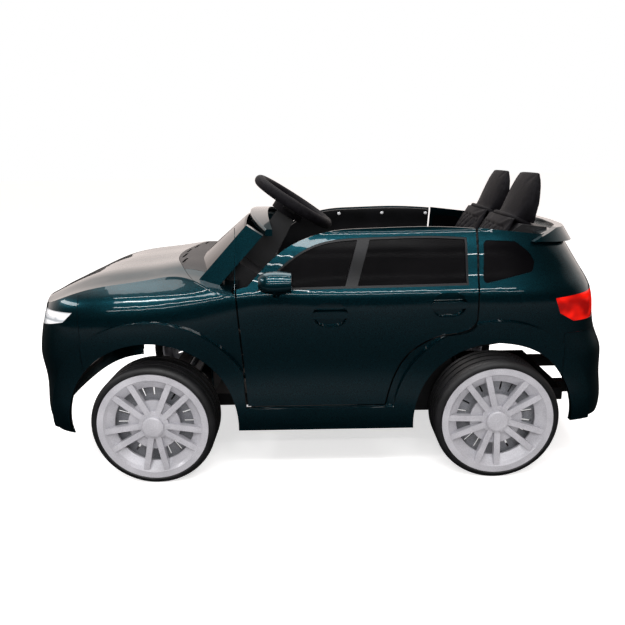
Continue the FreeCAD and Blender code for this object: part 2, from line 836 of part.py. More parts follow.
def windscreen():
    rows = zip(screen_levels, screen_edge_xs, screen_centre_xs, screen_half_widths)
    sheet = Part.makeLoft([crescent(*row, screen_wall, screen_wall) for row in rows], True, False)
    return sheet.common(screen_arch(0)).cut(hood_slab(0, rail_height))


def windscreen_cap():
    # rolled top lip, open at the back
    top = screen_levels[-1] - overrun
    edge_x, centre_x, span = screen_edge_xs[-1], screen_centre_xs[-1], screen_half_widths[-1]
    strip = crescent(top, edge_x, centre_x, span, cap_depth, cap_end_depth)
    outer = prism(strip, V(0, 0, 0), V(0, 0, overrun * 2))
    inset = cap_wall * 2
    core = crescent(top, edge_x + inset, centre_x + inset, span - cap_wall, cap_depth, cap_end_depth)
    hollow = prism(core, V(0, 0, 0), V(0, 0, overrun * 2))
    lip = outer.common(screen_arch(cap_height).cut(screen_arch(0)))
    lip = lip.cut(hollow.common(screen_arch(cap_height - cap_wall)))
    front = [edge for edge in lip.Edges if edge.CenterOfMass.x < screen_edge_xs[-1]
             and edge.Length > half_width and edge.CenterOfMass.z > screen_top_centre]
    return lip.makeFillet(cap_wall, front)


def headlamp():
    return half_layer(lamp_inset, lamp_depth).common(lamp_prism(headlamp_shares, headlamp_inner_share))


def tail_lamp():
    return half_layer(lamp_inset, lamp_depth).common(lamp_prism(tail_lamp_shares, tail_lamp_inner_share))


def barred_insert(shares, bar_count):
    # framed grille insert with level bars, following the nose
    block = half_layer(lamp_inset * 2, grille_depth).common(nose_prism(shares, corner_radius, -1))
    heights = [rail_height * share[1] for share in shares]
    low = min(heights) + grille_frame
    pitch = (max(heights) - grille_frame + grille_slat - low) / bar_count
    frame_share = 1 - grille_frame / (half_width * max(share[0] for share in shares))
    inner = [(share[0] * frame_share, share[1]) for share in shares]
    opening = nose_prism(inner, corner_radius, -1)
    for index in range(bar_count):
        gap = box(V(-half_length - overrun, -half_width, low + index * pitch),
                  V(0, half_width, low + (index + 1) * pitch - grille_slat))
        block = block.cut(gap.common(opening))
    return both(block)


def rear_glass():
    window, quarter = rear_glass_prisms()
    layer = half_layer(glass_inset, glass_inset + glass_thickness)
    pane = layer.common(quarter)
    return both(layer.common(window)), pane, mirrored(pane)


def window_wire(inset):
    low = [side_point(share) for share in window_sill_shares]
    rail = [side_point(share) for share in window_rail_shares]
    return side_outline([low, [low[1], rail[0]], rail], inset)


def door_prism(wire):
    return side_prism(wire, outside_y, door_reach_y)


def handle_outline(share, length, height):
    # long oval of two arcs and two lines
    centre = side_point(share)
    radius = height / 2
    flat = length / 2 - radius
    top_left = centre + V(-flat, 0, radius)
    top_right = centre + V(flat, 0, radius)
    low_right = centre + V(flat, 0, -radius)
    low_left = centre + V(-flat, 0, -radius)
    right = Part.Arc(top_right, centre + V(flat + radius, 0, 0), low_right).toShape()
    left = Part.Arc(low_left, centre + V(-flat - radius, 0, 0), top_left).toShape()
    return Part.Wire([Part.makeLine(top_left, top_right), right, Part.makeLine(low_right, low_left), left])


def door_skin():
    skin = half_layer(0, skin_wall).common(door_prism(door_wire(0)))
    skin = skin.cut(door_prism(window_wire(0)))
    for share in handle_places_shares:
        hole = door_prism(handle_outline(share, handle_length, handle_height))
        rim = door_prism(handle_outline(share, handle_length + skin_wall * 2, handle_height + skin_wall * 2))
        cup = half_layer(skin_wall / 2, handle_depth + skin_wall).common(rim)
        cup = cup.cut(half_layer(-overrun / 2, handle_depth).common(hole))
        bar = half_layer(-handle_bar_depth, skin_wall * bar_root_share).common(
            door_prism(handle_outline(share, handle_length + skin_wall, handle_bar_height)))
        skin = skin.cut(hole).fuse([cup, bar])
    return skin


def door_glass():
    wire = window_wire(-glass_margin)
    outer_inset = skin_wall + running_clearance
    pane = half_layer(outer_inset, outer_inset + glass_thickness).common(door_prism(wire))
    # the pane stops at the liner's front wall
    front = hinge_x + hinge_panel_setback + door_panel_wall + running_clearance
    return pane.cut(box(V(-half_length, outside_y, 0), V(front, 0, rail_height + overrun)))


def window_trim():
    # frame round the panes with the slanted middle pillar
    outer = door_prism(window_wire(0))
    inner = door_prism(window_wire(trim_wall))
    pillar = door_prism(closed([side_point(share) for share in pillar_shares])).common(outer)
    return half_layer(glass_inset, skin_wall).common(outer.cut(inner).fuse(pillar))


def hinge_ear(height, upwards):
    low = height - hinge_ear_thickness / 2
    axis = V(hinge_x, hinge_y, low)
    eye = Part.makeCylinder(hinge_ear_radius, hinge_ear_thickness, axis)
    tab = box(V(hinge_x, hinge_y - hinge_ear_radius, low),
              V(hinge_x + hinge_panel_setback + door_panel_wall, hinge_y + hinge_ear_radius,
                low + hinge_ear_thickness))
    pin_end = hinge_pin_length if upwards else -hinge_pin_length
    start = V(hinge_x, hinge_y, height)
    pin = rod(hinge_pin_radius, start, start + V(0, 0, pin_end))
    return eye.fuse([tab, pin])


def door_panel():
    # black inner liner: a curved sheet with a wall round it that meets the skin
    outline = door_wire(door_panel_inset)
    inner = door_wire(door_panel_inset + door_panel_wall)
    ahead = box(V(-half_length, outside_y, 0), V(hinge_x + hinge_panel_setback, 0, rail_height + overrun))
    front_wall = box(V(hinge_x + hinge_panel_setback, outside_y, 0),
                     V(hinge_x + hinge_panel_setback + door_panel_wall, 0, rail_height + overrun))
    body = half_layer(skin_wall, door_depth + door_panel_wall).common(door_prism(outline))
    hollow = half_layer(0, door_depth).common(door_prism(inner)).cut(front_wall)
    panel = body.cut([hollow, ahead])
    low, high = hinge_heights
    return panel.fuse([hinge_ear(low, False), hinge_ear(high, True)])


def door_mirror():
    # rounded housing on a short arm, its foot on the door skin
    surface = half_solid(0)
    centre_y = -(half_width + mirror_reach)
    centre = V(mirror_x, centre_y, mirror_height)
    rings = []
    for along_share, size_share in mirror_shares:
        x = mirror_x + mirror_length * along_share * 2
        half_y = mirror_width / 2 * size_share
        half_z = mirror_depth / 2 * size_share
        points = [V(x, centre_y - half_y, mirror_height), V(x, centre_y, mirror_height + half_z),
                  V(x, centre_y + half_y, mirror_height), V(x, centre_y, mirror_height - half_z)]
        curve = Part.BSplineCurve()
        curve.interpolate(Points=points, PeriodicFlag=True)
        rings.append(Part.Wire([curve.toShape()]))
    housing = Part.makeLoft(rings, True, False)
    arm = rod(mirror_arm_radius, centre, V(mirror_x, -half_width / 2, mirror_height - mirror_arm_drop))
    return housing.fuse(arm).cut(surface)


floor_top = floor_bottom + floor_thickness
axle_height = tyre_radius


def tray_outline(inset, wide):
    # plan of the tray: a wide middle between the axles and a narrow neck at each end
    neck = tray_neck_half_width - inset
    front, rear = tray_front_x + inset, tray_rear_x - inset
    middle_front, middle_rear = tray_middle_front + inset, tray_middle_rear - inset
    left = [V(front, -neck, 0), V(middle_front, -neck, 0), V(middle_front, -wide, 0),
            V(middle_rear, -wide, 0), V(middle_rear, -neck, 0), V(rear, -neck, 0)]
    right = [V(point.x, -point.y, 0) for point in reversed(left)]
    return closed(left + right)


def tray_pan():
    pan = prism(tray_outline(0, tray_half_width), V(0, 0, floor_bottom),
                V(0, 0, tray_wall_top - floor_bottom))
    hollow = prism(tray_outline(tray_wall, tray_half_width - tray_wall), V(0, 0, floor_top),
                   V(0, 0, tray_wall_top))
    lowered = box(V(tray_middle_front - tray_wall, -tray_half_width, ground_clearance),
                  V(tray_middle_rear + tray_wall, tray_half_width, tray_wall_top))
    flange = box(V(tray_middle_front, -tray_flange_reach, floor_top),
                 V(tray_middle_rear, tray_flange_reach, ground_clearance))
    inside = box(V(tray_middle_front + tray_wall, -tray_half_width + tray_wall, floor_top),
                 V(tray_middle_rear - tray_wall, tray_half_width - tray_wall, ground_clearance))
    return pan.cut([hollow, lowered]).fuse(flange.cut(inside)).cut(hollow)


def axle_beam():
    # front beam: two flanges and a web, its ends forked round the kingpins
    reach = -kingpin_y
    parts = []
    for low in (beam_bottom, beam_top - fork_plate):
        plate = box(V(front_axle_x - beam_half_length, -reach, low),
                    V(front_axle_x + beam_half_length, reach, low + fork_plate))
        ends = [Part.makeCylinder(beam_half_length, fork_plate, V(front_axle_x, side * reach, low))
                for side in (-1, 1)]
        parts.append(plate.fuse(ends))
    web = box(V(front_axle_x - tray_wall, -tray_neck_half_width, beam_bottom),
              V(front_axle_x + tray_wall, tray_neck_half_width, beam_top))
    return parts[0].fuse([parts[1], web])


def chassis_tray():
    parts = [axle_beam()]
    for side in (-1, 1):
        tail = box(V(tray_rear_x - tray_wall, side * rear_prong_y - prong_half_width, floor_top),
                   V(half_length + overrun, side * rear_prong_y + prong_half_width, tray_wall_top))
        low, high = sorted((side * block_inner_y, side * block_outer_y))
        block = box(V(rear_axle_x - block_half_length, low, floor_bottom),
                    V(rear_axle_x + block_half_length, high, block_top))
        parts += [tail, block]
    for index in range(tray_rib_count):
        share = (index + 1) / (tray_rib_count + 2)
        x = tray_middle_front + (seat_box_front - tray_middle_front) * (share + 1) / 2
        parts.append(box(V(x, -tray_half_width / 2, floor_bottom),
                         V(x + tray_rib_width, tray_half_width / 2, floor_top + tray_rib_height)))
    ear_low = pedal_y - pedal_width / 2 - slide_gap - pedal_ear_thickness
    for low in (ear_low, pedal_y + pedal_width / 2 + slide_gap):
        ear = box(V(pedal_x - pedal_barrel_radius, low, floor_bottom),
                  V(pedal_x + pedal_barrel_radius, low + pedal_ear_thickness, pedal_axis_height))
        crown = rod(pedal_barrel_radius, V(pedal_x, low, pedal_axis_height),
                    V(pedal_x, low + pedal_ear_thickness, pedal_axis_height))
        parts += [ear, crown]
    tray = tray_pan().fuse(parts)
    cavity = half_solid(skin_wall)
    tray = tray.common(cavity.fuse(mirrored(cavity)))
    bores = [rod(axle_radius + running_clearance, V(rear_axle_x, -half_width, axle_height),
                 V(rear_axle_x, half_width, axle_height)),
             rod(pedal_pin_radius + running_clearance,
                 V(pedal_x, ear_low - overrun, pedal_axis_height),
                 V(pedal_x, pedal_y + pedal_width, pedal_axis_height))]
    for side in (-1, 1):
        bores.append(Part.makeCylinder(kingpin_radius + running_clearance, beam_top,
                                       V(front_axle_x, side * kingpin_y, 0)))
    tray = tray.cut(bores)
    # butted lengthwise: the steering carrier, the floor and the axle carrier
    ends = [-half_length - overrun, *tray_joint_xs, half_length + overrun]
    return [tray.common(box(V(start, -half_width, 0), V(end, half_width, rail_height)))
            for start, end in zip(ends, ends[1:])]


def knuckle(hand):
    # steering knuckle of one side: kingpin barrel, stub axle with nut, steering arm with a slotted eye
    low = beam_bottom + fork_plate + slide_gap
    high = beam_top - fork_plate - slide_gap
    pivot_y = hand * kingpin_y
    base = V(front_axle_x, pivot_y, 0)
    barrel = Part.makeCylinder(knuckle_radius, high - low, base + V(0, 0, low))
    pin = Part.makeCylinder(kingpin_radius, beam_top - beam_bottom, base + V(0, 0, beam_bottom))
    hub_end = hand * (-track / 2 + hub_inner_reach + slide_gap)
    nut_face = hand * (-track / 2 - tyre_width / 2 + nut_pocket_depth - slide_gap)
    nut_end = nut_face - hand * nut_length
    collar = rod(collar_radius, V(front_axle_x, pivot_y, axle_height), V(front_axle_x, hub_end, axle_height))
    stub = rod(stub_radius, V(front_axle_x, pivot_y, axle_height),
               V(front_axle_x, nut_end, axle_height))
    nut = rod(nut_radius, V(front_axle_x, nut_face, axle_height),
              V(front_axle_x, nut_end, axle_height))
    eye_x = front_axle_x + steering_arm_length
    arm = box(V(front_axle_x, pivot_y - steering_arm_width / 2, steering_arm_bottom),
              V(eye_x, pivot_y + steering_arm_width / 2, steering_arm_bottom + steering_arm_thickness))
    eye = Part.makeCylinder(steering_arm_width / 2 + tie_slot_travel, steering_arm_thickness,
                            V(eye_x, pivot_y, steering_arm_bottom))
    play = tie_pin_radius + tie_slot_play
    slot = box(V(eye_x - tie_slot_play, pivot_y - play, 0),
               V(eye_x + tie_slot_travel, pivot_y + play, beam_top))
    ends = [Part.makeCylinder(play, beam_top, V(eye_x - tie_slot_play, pivot_y, 0)),
            Part.makeCylinder(play, beam_top, V(eye_x + tie_slot_travel, pivot_y, 0))]
    return barrel.fuse([pin, collar, stub, nut, arm, eye]).cut([slot] + ends)


def crank_frame():
    # axis of the column, the way the crank points, the foot of the shaft and the crank pin
    axis = column_axis()
    arm = V(axis.z, 0, -axis.x)
    tie_middle = steering_arm_bottom + steering_arm_thickness + tie_gap + tie_height / 2
    centre = column_centre()
    drop = (centre.z + crank_length * arm.z - tie_middle) / axis.z
    foot = centre - axis * drop
    return axis, arm, foot, foot + arm * crank_length


def tie_rod():
    low = steering_arm_bottom + steering_arm_thickness + tie_gap
    x = front_axle_x + steering_arm_length
    axis, arm, foot, pin = crank_frame()
    bar = box(V(x - tie_width / 2, kingpin_y, low), V(x + tie_width / 2, -kingpin_y, low + tie_height))
    parts = []
    for side in (-1, 1):
        parts.append(Part.makeCylinder(tie_width / 2, tie_height, V(x, side * kingpin_y, low)))
        parts.append(Part.makeCylinder(tie_pin_radius, low + tie_height - steering_arm_bottom + tie_gap,
                                       V(x, side * kingpin_y, steering_arm_bottom - tie_gap)))
    half_slot = crank_slot_length / 2
    wall = crank_slot_wall
    play = crank_pin_radius + tie_slot_play
    plate = box(V(x, pin.y - play - wall, low),
                V(pin.x + half_slot + wall, pin.y + play + wall, low + tie_height))
    slot = box(V(pin.x - half_slot, pin.y - play, 0), V(pin.x + half_slot, pin.y + play, beam_top * 2))
    return bar.fuse(parts + [plate]).cut(slot)


def steering_shaft():
    axis, arm, foot, pin = crank_frame()
    top = column_centre() - axis * steer_hub_drop
    low = foot + axis * crank_stand_off
    pin_high = pin + axis * crank_stand_off
    lift = axis * crank_plate
    side = V(0, crank_width / 2, 0)
    plate = Part.Face(closed([low - side, pin_high - side, pin_high + side, low + side])).extrude(lift)
    eyes = [rod(crank_width / 2, low, low + lift), rod(crank_width / 2, pin_high, pin_high + lift)]
    shaft = rod(shaft_radius, low, top)
    peg = rod(crank_pin_radius, pin - axis * crank_pin_tail, pin_high + lift)
    return shaft.fuse([plate, peg] + eyes)


def on_column(shape):
    # local frame of the steering wheel: X to the right side, Y up the wheel, Z along the column
    axis = column_axis()
    turn = FreeCAD.Rotation(V(0, 1, 0), V(-axis.z, 0, axis.x), axis, "ZYX")
    shape.Placement = FreeCAD.Placement(column_centre(), turn)
    return shape


def spoke_ring(reach, half_span, half_depth, lift):
    return closed([V(reach, -half_span, lift - half_depth), V(reach, half_span, lift - half_depth),
                   V(reach, half_span, lift + half_depth), V(reach, -half_span, lift + half_depth)])


def steering_wheel():
    ring = Part.makeTorus(steer_ring_radius, steer_tube_radius)
    hub_top = -steer_hub_drop
    hub = Part.makeCylinder(steer_hub_radius, steer_hub_depth, V(0, 0, hub_top - steer_hub_depth))
    spokes = []
    for angle in steer_spoke_angles:
        inner = spoke_ring(steer_hub_radius / 2, steer_spoke_width / 2, steer_spoke_depth / 2,
                           hub_top - steer_spoke_depth / 2)
        outer = spoke_ring(steer_ring_radius, steer_spoke_width / 3, steer_spoke_depth / 3, 0)
        spoke = Part.makeLoft([inner, outer], True, True)
        spoke.rotate(V(0, 0, 0), V(0, 0, 1), angle)
        spokes.append(spoke)
    wheel = ring.fuse([hub] + spokes)
    above = Part.makeCylinder(pad_radius + slide_gap, steer_hub_drop * 2, V(0, 0, hub_top))
    socket = Part.makeCylinder(shaft_radius, steer_hub_depth, V(0, 0, hub_top - steer_hub_depth))
    return on_column(wheel.cut([above, socket]))


def steering_pad():
    pad = Part.makeCylinder(pad_radius, pad_depth, V(0, 0, -steer_hub_drop))
    top = [edge for edge in pad.Edges if edge.CenterOfMass.z > -steer_hub_drop / 2]
    pad = pad.makeFillet(pad_crown, top[:1])
    holes = [Part.makeCylinder(horn_radius + slide_gap / 2, pad_depth * 2,
                               V(side * horn_offset, 0, -pad_depth * 2))
             for side in (-1, 1)]
    for hole in holes:
        hole.translate(V(0, 0, pad_depth))
    return on_column(pad.cut(holes))


def horn_button(side):
    low = -steer_hub_drop + horn_travel + slide_gap
    button = Part.makeCylinder(horn_radius, pad_depth - horn_travel + horn_proud,
                               V(side * horn_offset, 0, low))
    top = [edge for edge in button.Edges if edge.CenterOfMass.z > 0]
    return on_column(button.makeFillet(horn_radius / 5, top[:1]))


def steering_column():
    def ring(distance, half):
        return closed([V(-half[0], -half[1], -distance), V(half[0], -half[1], -distance),
                       V(half[0], half[1], -distance), V(-half[0], half[1], -distance)])
    rings = [ring(column_base_distance, column_base_half), ring(column_top_distance, column_top_half)]
    body = Part.makeLoft(rings, True, True)
    bore = Part.makeCylinder(shaft_radius + running_clearance, column_base_distance * 2,
                             V(0, 0, -column_base_distance * 2))
    return on_column(body.cut(bore))


def dash_outline():
    axis, centre = column_axis(), column_centre()
    seat = centre - axis * column_base_distance
    slope = axis.x / axis.z
    rear = bulkhead_x + bulkhead_wall
    ridge_x = seat.x - (dash_top - seat.z) / slope
    face_top = seat.z - (dash_face_x - seat.x) * slope
    return [V(rear, 0, dash_bottom), V(rear, 0, dash_front_top), V(dash_step_x, 0, dash_step_z),
            V(dash_step_x, 0, dash_top), V(ridge_x, 0, dash_top), V(dash_face_x, 0, face_top),
            V(dash_face_x, 0, dash_face_bottom), V(dash_lip_x, 0, dash_bottom)]


def dashboard():
    outline = dash_outline()
    block = side_prism(closed(outline), -dash_half_width, dash_half_width)
    inner = closed(outline).makeOffset2D(-dash_wall)
    hollow = side_prism(inner, -dash_half_width + dash_wall, dash_half_width - dash_wall)
    lower = hollow.copy()
    lower.translate(V(0, 0, -dash_wall))
    dash = block.cut([hollow, lower])
    axis, centre = column_axis(), column_centre()
    dash = dash.cut(rod(column_bore, centre - axis * column_bore_reach, centre))
    lug_y = switch_width / 2 + switch_gap
    face = dash_face_x - dash_wall
    lugs = []
    for side in (-1, 1):
        near, far = sorted((switch_place[0] + side * lug_y, switch_place[0] + side * (lug_y + dash_wall)))
        lugs.append(box(V(face - switch_radius / 2, near, switch_place[1] - switch_radius / 3),
                        V(face + dash_wall / 2, far, switch_place[1] + switch_radius / 3)))
    hole = box(V(face, switch_place[0] - lug_y, switch_place[1] - switch_height / 2 - dash_wall / 2),
               V(dash_face_x, switch_place[0] + lug_y, switch_place[1] + switch_height / 2 + dash_wall / 2))
    pivot = switch_pivot()
    pin_hole = rod(switch_pin_radius + running_clearance, pivot - V(0, switch_width, 0),
                   pivot + V(0, switch_width, 0))
    button_hole = rod(power_radius + slide_gap, V(face - dash_wall, power_place[0], power_place[1]),
                      V(dash_face_x + dash_wall, power_place[0], power_place[1]))
    return dash.fuse(lugs).cut([hole, pin_hole, button_hole])


def switch_pivot():
    return V(dash_face_x - dash_wall - switch_radius / 4, switch_place[0], switch_place[1])


def direction_switch():
    # rocker with two raised ends, on pins between the lugs behind the dash face
    pivot = switch_pivot()
    half = switch_height / 2
    front = dash_face_x + dash_wall
    middle = dash_face_x + dash_wall / 2
    back = pivot.x
    points = [V(back, 0, pivot.z - half * switch_root_share), V(front, 0, pivot.z - half),
              V(middle, 0, pivot.z), V(front, 0, pivot.z + half),
              V(back, 0, pivot.z + half * switch_root_share)]
    body = side_prism(closed(points), switch_place[0] - switch_width / 2, switch_place[0] + switch_width / 2)
    barrel = rod(switch_barrel_radius, V(pivot.x, switch_place[0] - switch_width / 2, pivot.z),
                 V(pivot.x, switch_place[0] + switch_width / 2, pivot.z))
    reach = switch_width / 2 + switch_gap + dash_wall
    pin = rod(switch_pin_radius, pivot - V(0, reach, 0), pivot + V(0, reach, 0))
    return body.fuse([barrel, pin])


def power_button():
    place = V(0, power_place[0], power_place[1])
    back = dash_face_x - dash_wall - slide_gap
    stem = rod(power_radius, place + V(back, 0, 0), place + V(dash_face_x + power_proud, 0, 0))
    flange = rod(power_radius + power_flange, place + V(back - power_flange, 0, 0), place + V(back, 0, 0))
    rim = [edge for edge in stem.Edges if edge.CenterOfMass.x > dash_face_x]
    return stem.makeFillet(power_flange / 2, rim[:1]).fuse(flange)


def accelerator_pedal():
    axis = V(pedal_x, 0, pedal_axis_height)
    lean = math.radians(pedal_angle)
    along = V(-math.cos(lean), 0, math.sin(lean))
    up = V(math.sin(lean), 0, math.cos(lean)) * (pedal_thickness / 2)
    tip = axis + along * pedal_length
    low, high = pedal_y - pedal_width / 2, pedal_y + pedal_width / 2
    plate = side_prism(closed([axis - up, tip - up, tip + up, axis + up]), low, high)
    barrel = rod(pedal_barrel_radius, axis + V(0, low, 0), axis + V(0, high, 0))
    reach = pedal_ear_thickness + slide_gap
    pin = rod(pedal_pin_radius, axis + V(0, low - reach, 0), axis + V(0, high + reach, 0))
    pedal = plate.fuse([barrel, pin])
    pitch = (pedal_length - pedal_barrel_radius * 2) / pedal_rib_count
    for index in range(pedal_rib_count):
        start = axis + along * (pedal_barrel_radius * 2 + index * pitch) + up
        groove = along * (pitch / 2)
        sink = up * (pedal_rib_depth / up.Length)
        corners = [start - sink, start + groove - sink, start + groove + sink, start + sink]
        pedal = pedal.cut(side_prism(closed(corners), low, high))
    return pedal


def seat_wedge(inset):
    # side outline of the moulded seat back behind the pads
    places = [seat_back_foot, seat_back_head, seat_back_crest, seat_back_top_rear, seat_back_bottom_rear]
    wire = closed([V(place[0], 0, place[1]) for place in places])
    if inset:
        wire = wire.makeOffset2D(-inset)
    return side_prism(wire, -seat_half_width + inset, seat_half_width - inset)


def seat_base():
    # hollow moulding: a box over the battery, with a raised back
    seat_box = box(V(seat_box_front, -seat_half_width, floor_top),
                   V(seat_box_rear, seat_half_width, seat_box_top))
    top = [edge for edge in seat_box.Edges if edge.CenterOfMass.z > seat_box_top - seat_wall
           and edge.CenterOfMass.x < seat_box_rear - seat_wall]
    seat_box = seat_box.makeFillet(seat_wall * 2, top)
    hollow = box(V(seat_box_front + seat_wall, -seat_half_width + seat_wall, 0),
                 V(seat_box_rear - seat_wall, seat_half_width - seat_wall, seat_box_top - seat_wall))
    return seat_box.cut(hollow).fuse(seat_wedge(0).cut(hollow)).cut([seat_wedge(seat_wall), tray_pan()])


def pad_ring(place, across, normal, half_span, thickness, crown, draw):
    # one section of a cushion: flat underside, full sides drawn in to the seams, crowned face
    low_left = place - across * half_span
    low_right = place + across * half_span
    shoulder = normal * (thickness - crown)
    high_left = low_left + shoulder
    high_right = low_right + shoulder
    left = Part.Arc(high_left, low_left + shoulder / 2 - across * draw, low_left).toShape()
    right = Part.Arc(low_right, low_right + shoulder / 2 + across * draw, high_right).toShape()
    face = Part.Arc(high_right, place + normal * thickness, high_left).toShape()
    return Part.Wire([Part.makeLine(low_left, low_right), right, face, left])


def seat_cushion(side):
    length = cushion_rear - cushion_front
    rings = []
    for along_share, span_share, rise_share in cushion_shares:
        place = V(cushion_front + length * along_share, side * seat_pitch / 2, seat_box_top)
        rings.append(pad_ring(place, V(0, 1, 0), V(0, 0, 1), cushion_width / 2 * span_share,
                              (cushion_thickness + cushion_crown) * rise_share,
                              cushion_crown * rise_share, cushion_draw))
    return Part.makeLoft(rings, True, False)


def back_frame(side):
    # foot of the seat back, the way up it and the way out of its face
    foot = V(seat_back_foot[0], side * seat_pitch / 2, seat_back_foot[1])
    head = V(seat_back_head[0], side * seat_pitch / 2, seat_back_head[1])
    up = (head - foot).normalize()
    return foot, up, V(-up.z, 0, up.x)


def back_rings(side, shares):
    foot, up, normal = back_frame(side)
    rings = []
    for along_share, span_share, depth_share, rear_share in shares:
        place = foot + up * (back_start + back_length * along_share)
        place = place - normal * (back_pad_thickness * rear_share)
        depth = back_pad_thickness * depth_share
        rings.append(pad_ring(place, V(0, 1, 0), normal, back_pad_width / 2 * span_share, depth,
                              depth * back_crown_share, back_pad_width * back_draw_share))
    return rings


def quilt_channels(side):
    # crossed diagonal channels that run out where the crowned face falls away
    foot, up, normal = back_frame(side)
    middle = foot + up * (back_start + back_length * quilt_middle_share)
    middle = middle + normal * (back_pad_thickness + quilt_radius - quilt_depth)
    channels = []
    for lean in (-1, 1):
        along = (up + V(0, lean, 0)).normalize() * (back_pad_width / 2)
        step = (up - V(0, lean, 0)).normalize() * quilt_pitch
        for index in range(quilt_count):
            centre = middle + step * (index - (quilt_count - 1) / 2)
            channels.append(rod(quilt_radius, centre - along, centre + along))
    return channels


def seat_back(side):
    # quilted back lying on the moulded back, with a headrest on top of it
    pad = Part.makeLoft(back_rings(side, back_shares), True, False)
    rest = Part.makeLoft(back_rings(side, headrest_shares), True, False)
    return [pad.cut([seat_wedge(0), rest] + quilt_channels(side)), rest.cut(seat_wedge(0))]


def battery():
    length, width, height = battery_size
    case = box(V(battery_x, battery_y - width / 2, floor_top),
               V(battery_x + length, battery_y + width / 2, floor_top + height))
    upright = [edge for edge in case.Edges if abs(edge.tangentAt(edge.FirstParameter).z) > upright_share]
    case = case.makeFillet(battery_terminal_radius, upright)
    post_x = battery_x + battery_terminal_setback
    posts = [Part.makeCylinder(battery_terminal_radius, battery_terminal_height,
                               V(post_x, battery_y + side * battery_terminal_spread, floor_top + height))
             for side in (-1, 1)]
    return case.fuse(posts)


def control_box():
    length, width, height = control_size
    case = box(V(control_x - length / 2, control_y - width / 2, floor_top),
               V(control_x + length / 2, control_y + width / 2, floor_top + height))
    fins = []
    pitch = length / control_fin_count
    for index in range(control_fin_count):
        x = control_x - length / 2 + index * pitch
        fins.append(box(V(x, control_y - width / 2, floor_top + height),
                        V(x + pitch / 2, control_y + width / 2, floor_top + height + control_rib)))
    return case.fuse(fins)


def rear_axle():
    # fixed steel rod with a nut at each end
    nut_face = track / 2 + tyre_width / 2 - nut_pocket_depth + slide_gap
    end = nut_face + nut_length
    solids = [rod(axle_radius, V(rear_axle_x, -end, axle_height), V(rear_axle_x, end, axle_height))]
    for side in (-1, 1):
        solids.append(rod(nut_radius, V(rear_axle_x, side * nut_face, axle_height),
                          V(rear_axle_x, side * end, axle_height)))
    return solids[0].fuse(solids[1:])


def gearbox():
    # left gear case: two rounded lobes round the axle and the motor shaft
    inner, outer = -block_outer_y, -block_outer_y - gearbox_width
    axle = V(rear_axle_x, 0, axle_height)
    motor = axle + V(motor_offset[0], 0, motor_offset[1])
    lobes = [rod(gearbox_axle_radius, axle + V(0, inner, 0), axle + V(0, outer, 0)),
             rod(gearbox_motor_radius, motor + V(0, inner, 0), motor + V(0, outer, 0))]
    along = (motor - axle).normalize()
    across = V(-along.z, 0, along.x)
    wedge = [axle + across * gearbox_axle_radius, motor + across * gearbox_motor_radius,
             motor - across * gearbox_motor_radius, axle - across * gearbox_axle_radius]
    case = lobes[0].fuse([lobes[1], side_prism(closed(wedge), outer, inner)])
    return case.cut(rod(axle_radius + running_clearance, axle + V(0, inner, 0), axle + V(0, outer, 0)))


def drive_motor():
    start = V(rear_axle_x + motor_offset[0], -block_outer_y, axle_height + motor_offset[1])
    can = rod(motor_radius, start, start + V(0, motor_length, 0))
    end = [edge for edge in can.Edges if edge.CenterOfMass.y > start.y + motor_length / 2]
    return can.makeFillet(motor_radius / 6, end[:1])


half_tyre = tyre_width / 2


def tyre():
    # round shoulders, bead against the rim, three grooves round the tread
    outer = [V(tyre_bead_radius, -half_tyre + rim_lip, 0), V(rim_radius, -half_tyre + rim_lip, 0),
             V(rim_radius, -half_tyre + rim_lip / 3, 0)]
    shoulder = tyre_shoulder / math.sqrt(2)
    edges = [Part.makeLine(outer[0], outer[1]), Part.makeLine(outer[1], outer[2])]
    side = V(tyre_radius - tyre_shoulder, -half_tyre, 0)
    tread = V(tyre_radius, -half_tyre + tyre_shoulder, 0)
    edges.append(Part.makeLine(outer[2], side))
    corner = V(tyre_radius - tyre_shoulder + shoulder, -half_tyre + tyre_shoulder - shoulder, 0)
    edges.append(Part.Arc(side, corner, tread).toShape())
    far_tread = V(tyre_radius, half_tyre - tyre_shoulder, 0)
    far_side = V(tyre_radius - tyre_shoulder, half_tyre, 0)
    far_bead = V(tyre_bead_radius, half_tyre - rim_lip, 0)
    edges.append(Part.makeLine(tread, far_tread))
    far_corner = V(corner.x, -corner.y, 0)
    edges.append(Part.Arc(far_tread, far_corner, far_side).toShape())
    edges += [Part.makeLine(far_side, far_bead), Part.makeLine(far_bead, outer[0])]
    body = Part.Face(Part.Wire(edges)).revolve(V(0, 0, 0), V(0, 1, 0), 360)
    for index in (-1, 0, 1):
        low = index * groove_pitch - groove_width / 2
        ring = [(tyre_radius - groove_depth, low), (tyre_radius + groove_depth, low),
                (tyre_radius + groove_depth, low + groove_width),
                (tyre_radius - groove_depth, low + groove_width)]
        body = body.cut(turned(ring))
    return body


def rim_ring():
    # lip, barrel and the sloped ring behind the spoke tips
    barrel_inner = tyre_bead_radius - rim_barrel_wall
    face = -half_tyre
    return turned([(spoke_tip_radius, face), (rim_radius, face), (rim_radius, face + rim_lip),
                   (tyre_bead_radius, face + rim_lip), (tyre_bead_radius, half_tyre - rim_lip),
                   (barrel_inner, half_tyre - rim_lip), (barrel_inner, face + rim_ring_depth - rim_ring_wall),
                   (rim_ring_radius, face + rim_ring_depth + rim_ring_wall),
                   (rim_ring_radius, face + rim_ring_depth), (rim_step_radius, face + rim_lip)])


def rim_hub():
    face = -half_tyre
    hub = turned([(0, face + spoke_tip_depth), (hub_radius, face + spoke_hub_depth),
                  (hub_radius, hub_inner_reach), (0, hub_inner_reach)])
    web = turned([(0, face + web_depth), (web_radius, face + web_depth),
                  (web_radius, face + web_depth + rim_ring_wall), (0, face + web_depth + rim_ring_wall)])
    return hub.fuse(web)


